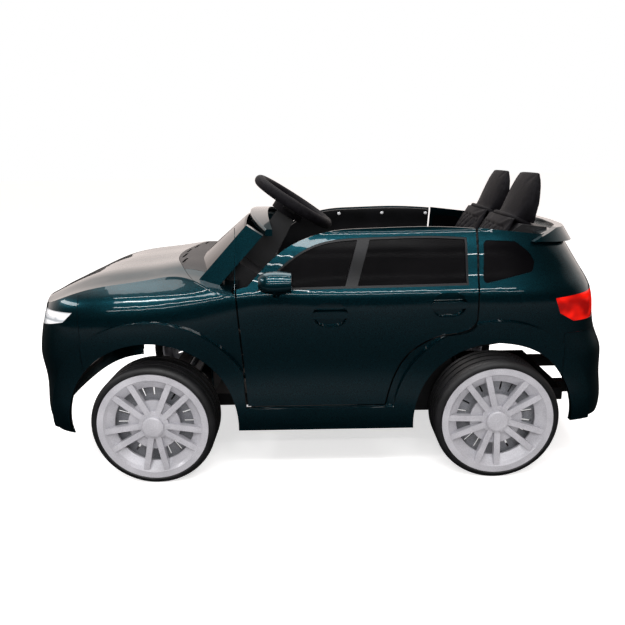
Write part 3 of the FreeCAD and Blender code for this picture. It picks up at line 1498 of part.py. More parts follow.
def rim_spokes():
    # five pairs of slim spokes, dished in towards the hub
    face = -half_tyre
    dish = turned([(0, face + spoke_hub_depth), (spoke_tip_radius, face + spoke_tip_depth),
                   (spoke_tip_radius, face + spoke_tip_depth + spoke_thickness),
                   (0, face + spoke_hub_depth + spoke_thickness)])
    bars = []
    for pair in range(spoke_pairs):
        for side in (-1, 1):
            root = V(side * spoke_root_offset, 0, -spoke_root_radius / 2)
            tip = V(side * spoke_tip_offset, 0, -spoke_tip_radius)
            half = V(spoke_width / 2, 0, 0)
            corners = [root - half, tip - half, tip + half, root + half]
            bar = side_prism(closed(corners), -half_tyre, half_tyre)
            bar.rotate(V(0, 0, 0), V(0, 1, 0), 360 / spoke_pairs * pair)
            bars.append(bar)
    return dish.common(bars[0].fuse(bars[1:]))


def rim():
    face = -half_tyre
    body = rim_ring().fuse([rim_hub(), rim_spokes()])
    bore = rod(axle_radius + running_clearance, V(0, -half_tyre, 0), V(0, half_tyre, 0))
    pocket = rod(nut_pocket_radius, V(0, face, 0), V(0, face + nut_pocket_depth, 0))
    seat = rod(cap_seat_radius, V(0, face - half_tyre, 0), V(0, face + cap_seat_depth, 0))
    return body.cut([bore, pocket, seat])


def brake_disc():
    face = -half_tyre + disc_depth
    disc = turned([(hub_radius, face), (disc_radius, face), (disc_radius, face + disc_thickness),
                   (hub_radius, face + disc_thickness)])
    slots = []
    for index in range(disc_slot_count):
        slot = box(V(-disc_slot_width / 2, face, disc_slot_radius - disc_slot_length / 2),
                   V(disc_slot_width / 2, face + disc_thickness, disc_slot_radius + disc_slot_length / 2))
        slot.rotate(V(0, 0, 0), V(0, 1, 0), 360 / disc_slot_count * index)
        slots.append(slot)
    return disc.cut(slots)


def hub_cap():
    face = -half_tyre
    return turned([(0, face + cap_seat_depth), (cap_seat_radius, face + cap_seat_depth),
                   (cap_seat_radius, face), (cap_seat_radius - cap_dome, face - cap_dome / 2),
                   (0, face - cap_dome)])


def placed(shape, x, left):
    # a wheel piece moved to its axle end, outer face outwards
    piece = shape.copy()
    piece.translate(V(x, -track / 2, axle_height))
    return piece if left else mirrored(piece)


def save_wheels():
    pieces = {"tyre": tyre(), "rim": rim(), "brake_disc": brake_disc(), "hub_cap": hub_cap()}
    for end, x, turn in (("front", front_axle_x, 0), ("rear", rear_axle_x, rear_wheel_turn)):
        for hand in ("left", "right"):
            for name, piece in pieces.items():
                turned_piece = piece.copy()
                turned_piece.rotate(V(0, 0, 0), V(0, 1, 0), turn)
                save(end + "_" + hand + "_" + name, placed(turned_piece, x, hand == "left"))


def save_body():
    skin = trimmed_skin()
    save("body_shell", body_shell(skin))
    save("front_bumper", front_bumper(skin))
    save("rear_bumper", rear_bumper(skin))
    save("bonnet", bonnet())
    save("cowl_panel", cowl_panel())
    save("windscreen", windscreen())
    save("windscreen_cap", windscreen_cap())
    save("front_grille", barred_insert(grille_shares, grille_bar_count),
         barred_insert(intake_shares, intake_bar_count))
    save("rear_glass", *rear_glass())
    for name, lamp in (("headlamps", headlamp()), ("tail_lamps", tail_lamp())):
        save(name, lamp, mirrored(lamp))


def save_doors():
    pieces = {"door_skin": door_skin(), "door_panel": door_panel(), "door_glass": door_glass(),
              "window_trim": window_trim(), "mirror": door_mirror()}
    for name, piece in pieces.items():
        save("left_" + name, piece)
        save("right_" + name, mirrored(piece))


def save_cabin():
    save("chassis_tray", *chassis_tray())
    save("dashboard", dashboard())
    save("steering_column", steering_column())
    save("seat_base", seat_base())
    save("seat_cushion", seat_cushion(-1), seat_cushion(1))
    save("seat_back_left", *seat_back(-1))
    save("seat_back_right", *seat_back(1))
    save("direction_switch", direction_switch())
    save("power_button", power_button())
    save("accelerator_pedal", accelerator_pedal())


def save_drive():
    save("battery", battery())
    save("control_box", control_box())
    save("rear_axle", rear_axle())
    save("gearboxes", gearbox(), mirrored(gearbox()))
    save("drive_motors", drive_motor(), mirrored(drive_motor()))


def save_steering():
    save("steering_wheel", steering_wheel())
    save("steering_pad", steering_pad())
    save("horn_button_left", horn_button(-1))
    save("horn_button_right", horn_button(1))
    save("steering_shaft", steering_shaft())
    save("tie_rod", tie_rod())
    save("left_knuckle", knuckle(1))
    save("right_knuckle", knuckle(-1))


os.makedirs("parts", exist_ok=True)
save_wheels()
save_body()
save_doors()
save_cabin()
save_drive()
save_steering()
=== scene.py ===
import json
import math

import bmesh
import bpy
import numpy as np
from mathutils import Matrix, Vector


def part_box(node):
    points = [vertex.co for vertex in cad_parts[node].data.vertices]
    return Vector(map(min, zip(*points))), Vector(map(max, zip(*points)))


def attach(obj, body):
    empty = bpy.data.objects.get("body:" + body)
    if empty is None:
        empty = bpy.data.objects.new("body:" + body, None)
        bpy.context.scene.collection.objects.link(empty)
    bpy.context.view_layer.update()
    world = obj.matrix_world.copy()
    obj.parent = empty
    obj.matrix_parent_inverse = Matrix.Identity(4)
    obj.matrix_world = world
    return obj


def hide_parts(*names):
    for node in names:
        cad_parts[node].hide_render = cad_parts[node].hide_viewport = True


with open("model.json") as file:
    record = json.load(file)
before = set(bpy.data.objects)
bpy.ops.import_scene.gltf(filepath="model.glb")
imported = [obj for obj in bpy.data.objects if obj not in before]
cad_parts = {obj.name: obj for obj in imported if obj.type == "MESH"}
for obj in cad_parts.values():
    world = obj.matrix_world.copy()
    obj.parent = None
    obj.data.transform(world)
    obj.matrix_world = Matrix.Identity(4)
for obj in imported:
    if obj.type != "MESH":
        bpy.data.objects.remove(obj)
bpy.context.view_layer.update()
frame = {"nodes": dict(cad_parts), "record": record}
nodes = frame["nodes"]
scene = bpy.context.scene
sides = {"left": -1.0, "right": 1.0}  # the sign of y on each side of the car
print("frame loaded with", len(nodes), "solids")


def toLinear(hexColour):  # sRGB hex to linear colour
    channels = np.array([int(hexColour[i:i + 2], 16) for i in (1, 3, 5)]) / 255.0
    linear = np.where(channels <= 0.04045, channels / 12.92, ((channels + 0.055) / 1.055) ** 2.4)
    return (*linear.tolist(), 1.0)


def perMetre(millimetres):  # texture scale that repeats once in this many millimetres
    return 1000.0 / millimetres


# a band texture turns 20 radians a metre at scale 1, so its scale is pi tenths over the length of one band
def bandsPerMetre(millimetres):
    return perMetre(millimetres) * math.pi / 10.0


def addNode(tree, kind, inputs=None, **settings):  # one node with its settings, fixed inputs and links
    node = tree.nodes.new(kind)
    for name, value in settings.items():
        setattr(node, name, value)
    for name, value in (inputs or {}).items():
        if isinstance(value, bpy.types.NodeSocket):
            tree.links.new(value, node.inputs[name])
        else:
            node.inputs[name].default_value = value
    return node


def combine(tree, operation, first, second):  # sum, product or larger of two values
    return addNode(tree, "ShaderNodeMath", {0: first, 1: second}, operation=operation).outputs[0]


def startMaterial(name, surface):  # a principled surface with constants on its own sockets
    material = bpy.data.materials.new(name)
    material.use_nodes = True
    tree = material.node_tree
    tree.nodes.clear()
    shader = addNode(tree, "ShaderNodeBsdfPrincipled", surface)
    addNode(tree, "ShaderNodeOutputMaterial", {"Surface": shader.outputs[0]})
    place = addNode(tree, "ShaderNodeTexCoord").outputs["Object"]
    return material, tree, shader, place


def noise(tree, place, pattern):  # pattern is the grain in millimetres, then the detail
    inputs = {"Vector": place, "Scale": perMetre(pattern[0]), "Detail": pattern[1]}
    return addNode(tree, "ShaderNodeTexNoise", inputs).outputs["Fac"]


def bands(tree, inputs):  # level ribs, one above the other
    wave = addNode(tree, "ShaderNodeTexWave", inputs, wave_type="BANDS", bands_direction="Z")
    return wave.outputs["Fac"]


def colourRamp(tree, factor, stops):  # stops of place and hex colour
    ramp = addNode(tree, "ShaderNodeValToRGB", {"Fac": factor})
    elements = ramp.color_ramp.elements
    elements[0].position, elements[1].position = stops[0][0], stops[-1][0]
    elements[0].color, elements[1].color = toLinear(stops[0][1]), toLinear(stops[-1][1])
    for place, hexColour in stops[1:-1]:
        elements.new(place).color = toLinear(hexColour)
    return ramp.outputs["Color"]


def tint(tree, shader, factor, stops, socket="Base Color"):
    tree.links.new(colourRamp(tree, factor, stops), shader.inputs[socket])


def roughen(tree, shader, factor, span):  # roughness follows the pattern from smooth to dull
    rough = addNode(tree, "ShaderNodeMapRange", {"Value": factor, "To Min": span[0], "To Max": span[1]})
    tree.links.new(rough.outputs["Result"], shader.inputs["Roughness"])


def addBump(tree, shader, height, bump, under=None):  # bump is a strength, then a depth in metres
    inputs = {"Strength": bump[0], "Distance": bump[1], "Height": height}
    if under is not None:
        inputs["Normal"] = under
    normal = addNode(tree, "ShaderNodeBump", inputs).outputs["Normal"]
    tree.links.new(normal, shader.inputs["Normal"])
    return normal


# sprayed ABS: deep green metallic lacquer, dark face on and mirror-like where it turns away
paintSettings = {
    "surface": {"Metallic": 0.94, "Roughness": 0.33, "Coat Weight": 1.0, "Coat Roughness": 0.02,
                "Coat IOR": 1.42},
    "flake": (1.2, 1.0), "tones": [(0.3, "#021f26"), (0.75, "#073c46")],
    "wave": (120.0, 1.0), "waveBump": (0.18, 0.004)}


def sprayedGreenAbs():
    material, tree, shader, place = startMaterial("sprayedGreenAbs", paintSettings["surface"])
    # flakes are far finer than this on the real lacquer, and are drawn coarse enough to show
    tint(tree, shader, noise(tree, place, paintSettings["flake"]), paintSettings["tones"])
    # thin blow-moulded walls wave slightly, so reflections run in soft streaks
    normal = addBump(tree, shader, noise(tree, place, paintSettings["wave"]), paintSettings["waveBump"])
    tree.links.new(normal, shader.inputs["Coat Normal"])
    return material


# moulded polypropylene: black, even fine grain that scatters a dull sheen
plasticSettings = {
    "surface": {"Metallic": 0.0, "IOR": 1.49},
    "dust": (60.0, 4.0), "tones": [(0.35, "#060608"), (0.8, "#121216")],
    "grain": (1.6, 3.0), "rough": (0.38, 0.58), "bump": (0.35, 0.0006)}

# blown EVA tyre: dense black skin, slightly dusty, duller than the mouldings
tyreSettings = {
    "surface": {"IOR": 1.5}, "dust": (38.0, 4.0), "tones": [(0.35, "#08080a"), (0.8, "#17171a")],
    "grain": (3.0, 4.0), "rough": (0.42, 0.66), "bump": (0.25, 0.0008)}


def grainedBlack(name, settings):
    material, tree, shader, place = startMaterial(name, settings["surface"])
    tint(tree, shader, noise(tree, place, settings["dust"]), settings["tones"])
    grain = noise(tree, place, settings["grain"])
    roughen(tree, shader, grain, settings["rough"])
    addBump(tree, shader, grain, settings["bump"])
    return material


# tinted acrylic over a black liner: a blind dark pane, clean and shiny on the screen, duller on the doors
acrylicSettings = {
    "index": 1.45, "haze": (140.0, 3.0), "tones": [(0.3, "#030304"), (0.75, "#0a090b")],
    "wave": (70.0, 0.0), "bump": (0.25, 0.003),
    "pane": {"shine": 0.04, "rough": (0.16, 0.32)}, "screen": {"shine": 0.75, "rough": (0.06, 0.16)}}


def smokedAcrylic(name, finish):
    surface = {"IOR": acrylicSettings["index"], "Specular IOR Level": acrylicSettings[finish]["shine"]}
    material, tree, shader, place = startMaterial(name, surface)
    haze = noise(tree, place, acrylicSettings["haze"])
    tint(tree, shader, haze, acrylicSettings["tones"])
    roughen(tree, shader, haze, acrylicSettings[finish]["rough"])
    addBump(tree, shader, noise(tree, place, acrylicSettings["wave"]), acrylicSettings["bump"])
    return material


# silvered reflector under a clear polycarbonate lens: bright ribs with dark joints between the lamps
clearLampSettings = {
    "surface": {"Metallic": 0.35, "Roughness": 0.16, "Coat Weight": 1.0, "Coat Roughness": 0.02,
                "Emission Color": toLinear("#f4f8ff"), "Emission Strength": 0.28},
    "ribMm": 17.765, "ripple": {"Distortion": 0.4, "Detail": 1.0}, "cellMm": 17.0,
    "tones": [(0.0, "#8f9599"), (0.12, "#d9dde0"), (0.6, "#f7f8fa")], "bump": (0.5, 0.0015)}


def clearLampPolycarbonate():
    material, tree, shader, place = startMaterial("clearLampPolycarbonate", clearLampSettings["surface"])
    ribScale, cellScale = bandsPerMetre(clearLampSettings["ribMm"]), perMetre(clearLampSettings["cellMm"])
    inputs = {"Vector": place, "Scale": ribScale, **clearLampSettings["ripple"]}
    ribs = bands(tree, inputs)
    cells = addNode(tree, "ShaderNodeTexVoronoi", {"Vector": place, "Scale": cellScale})
    joints = combine(tree, "MULTIPLY", ribs, cells.outputs["Distance"])
    tint(tree, shader, joints, clearLampSettings["tones"])
    addBump(tree, shader, ribs, clearLampSettings["bump"])
    return material


# dyed polycarbonate lens, lit from behind: saturated red with a glowing middle and moulded prisms
redLampSettings = {
    "surface": {"Roughness": 0.2, "IOR": 1.4, "Specular IOR Level": 0.2, "Coat Weight": 0.12,
                "Coat Roughness": 0.02, "Emission Strength": 0.5},
    "glow": (34.0, 1.0), "dye": [(0.35, "#840503"), (0.7, "#c01005")],
    "light": [(0.4, "#4a0000"), (0.7, "#ff1a08")],
    "prismMm": 15.791, "bump": (0.4, 0.0012)}


def redLampPolycarbonate():
    material, tree, shader, place = startMaterial("redLampPolycarbonate", redLampSettings["surface"])
    glow = noise(tree, place, redLampSettings["glow"])
    tint(tree, shader, glow, redLampSettings["dye"])
    tint(tree, shader, glow, redLampSettings["light"], "Emission Color")
    inputs = {"Vector": place, "Scale": bandsPerMetre(redLampSettings["prismMm"]), "Distortion": 0.0}
    addBump(tree, shader, bands(tree, inputs), redLampSettings["bump"])
    return material


# embossed PU leatherette: black, soft sheen broken by small creased pebbles
leatherSettings = {
    "surface": {"IOR": 1.4, "Specular IOR Level": 0.12, "Sheen Weight": 0.02, "Sheen Roughness": 0.4},
    "seatPebbleMm": 2.6, "gripPebbleMm": 1.8, "pebbleBump": (0.35, 0.0007),
    "creasePebbles": 6.0, "creaseDetail": 5.0, "creaseBump": (0.25, 0.0012),
    "tones": [(0.3, "#08070a"), (0.75, "#121115")], "rough": (0.52, 0.72)}


def embossedLeatherette(name, pebbleMm):
    material, tree, shader, place = startMaterial(name, leatherSettings["surface"])
    pebbles = addNode(tree, "ShaderNodeTexVoronoi", {"Vector": place, "Scale": perMetre(pebbleMm)},
                      feature="DISTANCE_TO_EDGE")
    creaseMm = pebbleMm * leatherSettings["creasePebbles"]
    creases = noise(tree, place, (creaseMm, leatherSettings["creaseDetail"]))
    tint(tree, shader, creases, leatherSettings["tones"])
    roughen(tree, shader, creases, leatherSettings["rough"])
    under = addBump(tree, shader, creases, leatherSettings["creaseBump"])
    addBump(tree, shader, pebbles.outputs["Distance"], leatherSettings["pebbleBump"], under)
    return material


# sprayed ABS: pale silver paint with aluminium flake, a broad soft highlight
silverSettings = {
    "metallic": 0.15, "coat": 0.25, "coatRough": 0.12,
    "flake": (2.0, 2.0), "cloud": (45.0, 2.0), "bump": (0.12, 0.0005),
    "wheel": {"rough": 0.34, "tones": [(0.3, "#96969c"), (0.7, "#b9b9bf")]},
    "disc": {"rough": 0.38, "tones": [(0.3, "#54565c"), (0.7, "#a2a4aa")]},
    "screw": {"rough": 0.3, "tones": [(0.3, "#b9bcc0"), (0.7, "#e6e8ea")]}}


def sprayedSilverAbs(name, finish):
    material, tree, shader, place = startMaterial(name, {
        "Metallic": silverSettings["metallic"], "Roughness": silverSettings[finish]["rough"],
        "Coat Weight": silverSettings["coat"], "Coat Roughness": silverSettings["coatRough"]})
    flake = noise(tree, place, silverSettings["flake"])
    both = combine(tree, "ADD", flake, noise(tree, place, silverSettings["cloud"]))
    tint(tree, shader, combine(tree, "MULTIPLY", both, 0.5), silverSettings[finish]["tones"])
    addBump(tree, shader, flake, silverSettings["bump"])
    return material


# zinc-plated steel: drawn bar with fine lengthwise marks and a cool uneven grey
steelSettings = {
    "surface": {"Metallic": 1.0}, "stretch": (1.0, 0.08, 1.0), "marks": (1.5, 3.0),
    "tones": [(0.3, "#6d7074"), (0.75, "#a9adb1")], "rough": (0.28, 0.5)}


def zincPlatedSteel():
    material, tree, shader, place = startMaterial("zincPlatedSteel", steelSettings["surface"])
    drawn = addNode(tree, "ShaderNodeMapping", {"Vector": place, "Scale": steelSettings["stretch"]})
    marks = noise(tree, drawn.outputs[0], steelSettings["marks"])
    tint(tree, shader, marks, steelSettings["tones"])
    roughen(tree, shader, marks, steelSettings["rough"])
    return material


# moulded ABS case: grey to near black, faint cloudy flow marks under a satin skin
satinSettings = {
    "surface": {"IOR": 1.53, "Specular IOR Level": 0.22}, "flow": (26.0, 5.0), "rough": (0.3, 0.46),
    "grain": (1.4, 2.0), "bump": (0.2, 0.0004),
    "battery": [(0.3, "#2b2c30"), (0.75, "#3a3b40")], "trim": [(0.3, "#0b0c0e"), (0.75, "#15161a")]}


def satinGreyAbs(name, tones):
    material, tree, shader, place = startMaterial(name, satinSettings["surface"])
    flow = noise(tree, place, satinSettings["flow"])
    tint(tree, shader, flow, satinSettings[tones])
    roughen(tree, shader, flow, satinSettings["rough"])
    addBump(tree, shader, noise(tree, place, satinSettings["grain"]), satinSettings["bump"])
    return material


# silvered acrylic: a clean bright mirror with a faint haze
mirrorFinishSettings = {
    "surface": {"Metallic": 1.0}, "haze": (12.0, 2.0), "tones": [(0.3, "#b9c2c6"), (0.7, "#d3dadd")],
    "rough": (0.02, 0.08)}


def silveredAcrylic():
    material, tree, shader, place = startMaterial("silveredAcrylic", mirrorFinishSettings["surface"])
    haze = noise(tree, place, mirrorFinishSettings["haze"])
    tint(tree, shader, haze, mirrorFinishSettings["tones"])
    roughen(tree, shader, haze, mirrorFinishSettings["rough"])
    return material


finishes = {
    "body_paint": sprayedGreenAbs(),
    "black_plastic": grainedBlack("grainedBlackPolypropylene", plasticSettings),
    "smoked_glass": smokedAcrylic("smokedAcrylic", "pane"),
    "lamp_clear": clearLampPolycarbonate(),
    "lamp_red": redLampPolycarbonate(),
    "seat_leather": embossedLeatherette("embossedLeatherette", leatherSettings["seatPebbleMm"]),
    "grip_leather": embossedLeatherette("grainedGripLeatherette", leatherSettings["gripPebbleMm"]),
    "battery_case": satinGreyAbs("satinBatteryAbs", "battery"),
    "steel": zincPlatedSteel(),
    "trim_grey": satinGreyAbs("satinTrimAbs", "trim"),
    "tyre_rubber": grainedBlack("blownEvaRubber", tyreSettings),
    "wheel_silver": sprayedSilverAbs("sprayedSilverAbs", "wheel"),
    "disc_silver": sprayedSilverAbs("sprayedDiscAbs", "disc"),
}
for part in frame["record"]["subparts"]:
    slots = nodes[part["node"]].data.materials
    slots.clear()
    slots.append(finishes[part["material_slot"]])
nodes["windscreen"].data.materials[0] = smokedAcrylic("polishedScreenAcrylic", "screen")
print("finishes on the solids:", len(finishes))


def settledMesh(piece):  # the piece's mesh with its modifiers applied
    depsgraph = bpy.context.evaluated_depsgraph_get()
    depsgraph.update()
    return bpy.data.meshes.new_from_object(piece.evaluated_get(depsgraph))


def joinEdges(mesh, within):  # welds points closer than this and turns all faces outwards
    joined = bmesh.new()
    joined.from_mesh(mesh)
    bmesh.ops.remove_doubles(joined, verts=joined.verts, dist=within)
    bmesh.ops.recalc_face_normals(joined, faces=joined.faces)
    joined.to_mesh(mesh)
    joined.free()


def vertexArrays(mesh):  # places and normals as arrays
    places = np.empty(len(mesh.vertices) * 3)
    normals = np.empty(len(mesh.vertices) * 3)
    mesh.vertices.foreach_get("co", places)
    mesh.vertices.foreach_get("normal", normals)
    return places.reshape(-1, 3), normals.reshape(-1, 3)


def setPlaces(mesh, places):
    mesh.vertices.foreach_set("co", places.ravel())
    mesh.update()


def shadeSmooth(mesh):
    mesh.polygons.foreach_set("use_smooth", np.ones(len(mesh.polygons), bool))
    mesh.update()


def smoothShare(low, high, values):  # 0 below low, 1 above high, smooth between
    share = np.clip((values - low) / (high - low), 0.0, 1.0)
    return share * share * (3.0 - 2.0 * share)


# padded seats: stuffed skins over the solids' own forms, with sizes in metres
padSettings = {"weld": 0.00001, "voxel": 0.005, "resting": 0.55, "shrink": 0.004, "pressure": 4.0,
               "frames": 20, "cap": 0.006}


def blowUp(piece, start, resting):  # cloth under pressure, each point held to a short way from its start
    held = piece.vertex_groups.new(name="resting")
    held.add(np.flatnonzero(resting).tolist(), 1.0, "REPLACE")
    cloth = piece.modifiers.new("stuffing", "CLOTH")
    cloth.settings.vertex_group_mass = "resting"
    cloth.settings.use_pressure = True
    cloth.settings.uniform_pressure_force = padSettings["pressure"]
    cloth.settings.effector_weights.gravity = 0.0
    for step in range(1, padSettings["frames"] + 1):
        scene.frame_set(step)
    blown, _ = vertexArrays(settledMesh(piece))
    piece.modifiers.clear()
    scene.frame_set(1)
    move = blown - start
    length = np.linalg.norm(move, axis=1, keepdims=True)
    setPlaces(piece.data, start + move * padSettings["cap"] / np.maximum(length, padSettings["cap"]))


def stuffedSkin(nodeName, pieceName, rest):
    mesh = nodes[nodeName].data.copy()
    joinEdges(mesh, padSettings["weld"])
    piece = bpy.data.objects.new(pieceName, mesh)
    scene.collection.objects.link(piece)
    remesh = piece.modifiers.new("evenMesh", "REMESH")
    remesh.mode, remesh.voxel_size, remesh.use_smooth_shade = "VOXEL", padSettings["voxel"], True
    piece.data = settledMesh(piece)
    piece.modifiers.clear()
    places, normals = vertexArrays(piece.data)
    resting = normals @ rest > padSettings["resting"]  # what lies on the moulded seat stays where it is
    start = places - normals * (padSettings["shrink"] * ~resting[:, None])
    setPlaces(piece.data, start)
    blowUp(piece, start, resting)
    finer = piece.modifiers.new("finer", "SUBSURF")
    finer.levels = finer.render_levels = 1
    piece.data = settledMesh(piece)
    piece.modifiers.clear()
    return piece


# sewn panels: a panel is its half width, then its lower and upper edge, all from the middle
quiltSettings = {"diamond": 0.0325, "puff": 0.0042, "border": 0.016, "facing": (0.45, 0.85),
                 "edgeSpread": 0.22, "edgeDepth": 0.0018}


def sewDiamonds(piece, middle, up, front, panel, seamStart):
    # puffed diamonds: height is the square root of |sin a sin b|, a and b counting crossed diagonal seams
    halfWidth, lower, upper = panel
    border = quiltSettings["border"]
    places, normals = vertexArrays(piece.data)
    across = places[:, 1] - middle[1]
    along = (places - middle) @ up
    a = (across + along - seamStart) / quiltSettings["diamond"]
    b = (across - along + seamStart) / quiltSettings["diamond"]
    puff = np.sqrt(np.abs(np.sin(np.pi * a) * np.sin(np.pi * b)))
    inside = smoothShare(0.0, border, halfWidth - np.abs(across))
    inside *= smoothShare(lower, lower + border, along)
    inside *= smoothShare(0.0, border, upper - along)
    # the seam round the panel is a bell-shaped groove where the inside share passes one half
    edge = np.exp(-((inside - 0.5) / quiltSettings["edgeSpread"]) ** 2)
    raised = (puff - 1.0) * quiltSettings["puff"] * inside - edge * quiltSettings["edgeDepth"]
    raised *= smoothShare(*quiltSettings["facing"], normals @ front)
    setPlaces(piece.data, places + normals * raised[:, None])
    shadeSmooth(piece.data)


def coverSolid(skin, nodeName):
    skin.data.materials.clear()
    skin.data.materials.append(finishes["seat_leather"])
    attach(skin, "car")
    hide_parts(nodeName)


# two seats: their distance from the car's middle, the lean of the backs and their quilted panels
seatSettings = {"apart": 0.102, "backUp": (0.4265, 0.0, 0.9045), "backPanel": (0.082, -0.17, 0.06),
                "backSeam": -0.0605, "cushionPanel": (0.074, -0.075, 0.075), "cushionSeam": 0.0}
rearward, upward = np.array([1.0, 0.0, 0.0]), np.array([0.0, 0.0, 1.0])  # the bonnet points along minus x
backUp = np.array(seatSettings["backUp"])
backFront = np.array([-backUp[2], 0.0, backUp[0]])  # square to the back, facing the steering wheel
for side in sides:
    nodeName = "seat_back_" + side
    low, high = (np.array(corner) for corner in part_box(nodeName))
    middle = (low + high) / 2.0
    backSkin = stuffedSkin(nodeName, "padded_back_" + side, -backFront)
    sewDiamonds(backSkin, middle, backUp, backFront, seatSettings["backPanel"], seatSettings["backSeam"])
    coverSolid(backSkin, nodeName)
cushionSkin = stuffedSkin("seat_cushion", "padded_seat", -upward)
low, high = (np.array(corner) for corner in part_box("seat_cushion"))
for sign in sides.values():
    middle = np.array([(low[0] + high[0]) / 2.0, sign * seatSettings["apart"], high[2]])
    sewDiamonds(cushionSkin, middle, rearward, upward,
                seatSettings["cushionPanel"], seatSettings["cushionSeam"])
coverSolid(cushionSkin, "seat_cushion")
print("seats stuffed and sewn")


def gridMesh(name, points, wrapAlong, weld=0.000001):  # rows of points, each a closed ring, joined by quads
    rows, columns = points.shape[:2]
    row = np.arange(rows if wrapAlong else rows - 1)[:, None]
    column = np.arange(columns)[None, :]
    nextRow, nextColumn = (row + 1) % rows, (column + 1) % columns
    quads = np.stack([row * columns + column, row * columns + nextColumn,
                      nextRow * columns + nextColumn, nextRow * columns + column], axis=-1).reshape(-1, 4)
    mesh = bpy.data.meshes.new(name)
    mesh.from_pydata(points.reshape(-1, 3).tolist(), [], quads.tolist())
    joinEdges(mesh, weld)
    shadeSmooth(mesh)
    return mesh


def linkPiece(name, mesh, finish, body):
    piece = bpy.data.objects.new(name, mesh)
    scene.collection.objects.link(piece)
    mesh.materials.append(finish)
    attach(piece, body)


# hem of the headrest cover: an elastic roll round each headrest; foot is x and height at the back's lower end
hemSettings = {"foot": (0.258, 0.238), "skirt": 0.046, "length": 0.358, "share": 0.715, "halfWidth": 0.066,
               "middle": -0.0207, "halfDepth": 0.0285, "squareness": 0.62, "roll": 0.0048, "steps": 120,
               "ringSides": 14}


def hemPoints(sign):
    # closed path: signed powers of cosine and sine make a rounded oblong, and a circle is carried round it
    turn = np.linspace(0.0, 2.0 * np.pi, hemSettings["steps"], endpoint=False)
    cosine, sine = np.cos(turn), np.sin(turn)
    power = hemSettings["squareness"]
    across = hemSettings["halfWidth"] * np.sign(cosine) * np.abs(cosine) ** power
    depth = hemSettings["halfDepth"] * np.sign(sine) * np.abs(sine) ** power + hemSettings["middle"]
    foot = np.array([hemSettings["foot"][0], sign * seatSettings["apart"], hemSettings["foot"][1]])
    centre = foot + backUp * (hemSettings["skirt"] + hemSettings["length"] * hemSettings["share"])
    sideways = np.cross(upward, rearward)
    path = centre + across[:, None] * sideways + depth[:, None] * backFront
    ahead = np.roll(path, -1, axis=0) - np.roll(path, 1, axis=0)
    ahead /= np.linalg.norm(ahead, axis=1, keepdims=True)
    out = np.cross(ahead, backUp)
    ring = np.linspace(0.0, 2.0 * np.pi, hemSettings["ringSides"], endpoint=False)[None, :, None]
    return path[:, None] + hemSettings["roll"] * (np.cos(ring) * out[:, None] + np.sin(ring) * backUp)


for side, sign in sides.items():
    name = "headrest_hem_" + side
    linkPiece(name, gridMesh(name, hemPoints(sign), True), finishes["grip_leather"], "car")


def domePoints(centre, across, up, out, rings, ringSides):
    # rings shrink evenly to the middle; height is the square root of 1 less the squared ring share
    centre, across, up, out = (np.array(vector) for vector in (centre, across, up, out))
    share = np.linspace(1.0, 0.0, rings)[:, None, None]
    turn = np.linspace(0.0, 2.0 * np.pi, ringSides, endpoint=False)[None, :, None]
    rim = np.cos(turn) * across + np.sin(turn) * up
    under = np.broadcast_to(centre - out, (1, ringSides, 3))
    crown = centre + share * rim + np.sqrt(1.0 - share ** 2) * out
    return np.concatenate([under, centre + rim - out, crown])


# mirror glass on the rear of each housing, and pale pan-head screws along the door liners, in metres
mirrorSettings = {"x": -0.058, "apart": 0.318, "height": 0.416, "halfWidth": 0.0205, "halfHeight": 0.0155,
                  "rise": 0.0012, "rings": 8, "ringSides": 40}
screwSettings = {"places": ((0.049, 0.49), (0.163, 0.49), (0.278, 0.488)), "radius": 0.0046, "rise": 0.0018,
                 "rings": 7, "ringSides": 24}
mirrorFinish = silveredAcrylic()
screwFinish = sprayedSilverAbs("zincScrewHead", "screw")
for side, sign in sides.items():
    name = "mirror_glass_" + side
    glass = domePoints((mirrorSettings["x"], sign * mirrorSettings["apart"], mirrorSettings["height"]),
                       (0.0, mirrorSettings["halfWidth"], 0.0), (0.0, 0.0, mirrorSettings["halfHeight"]),
                       (mirrorSettings["rise"], 0.0, 0.0),
                       mirrorSettings["rings"], mirrorSettings["ringSides"])
    linkPiece(name, gridMesh(name, glass, False), mirrorFinish, side + "_door")
    liner = nodes[side + "_door_panel"]
    for count, (along, height) in enumerate(screwSettings["places"]):
        found, seat, _, _ = liner.ray_cast((along, 0.0, height), (0.0, sign, 0.0))
        if not found:
            continue
        name = "liner_screw_%s_%d" % (side, count)
        head = domePoints(seat, (screwSettings["radius"], 0.0, 0.0), (0.0, 0.0, screwSettings["radius"]),
                          (0.0, -sign * screwSettings["rise"], 0.0),
                          screwSettings["rings"], screwSettings["ringSides"])
        linkPiece(name, gridMesh(name, head, False), screwFinish, side + "_door")
print("hems, mirror glass and screws fitted")


# floor: pale to the camera, while to mirror rays it shows painted reflection bands, a paler strip between
# dark ones, that the paint mirrors on the car's side
floorSettings = {
    "surface": {"Roughness": 0.9, "Specular IOR Level": 0.05, "Emission Color": toLinear("#ffffff")},
    "size": 40.0, "lift": 0.62, "speck": (300.0, 2.0), "pale": [(0.2, "#f0f0f0"), (0.8, "#f6f6f6")],
    # painted reflection bands: where along y they run, then their colours
    "paintedReflectionRun": (-2.4, -0.4),
    "paintedReflection": [(0.0, "#121517"), (0.46, "#1c2022"), (0.62, "#6d7276"), (0.8, "#3a3f42"), (1.0, "#0a0c0d")]}


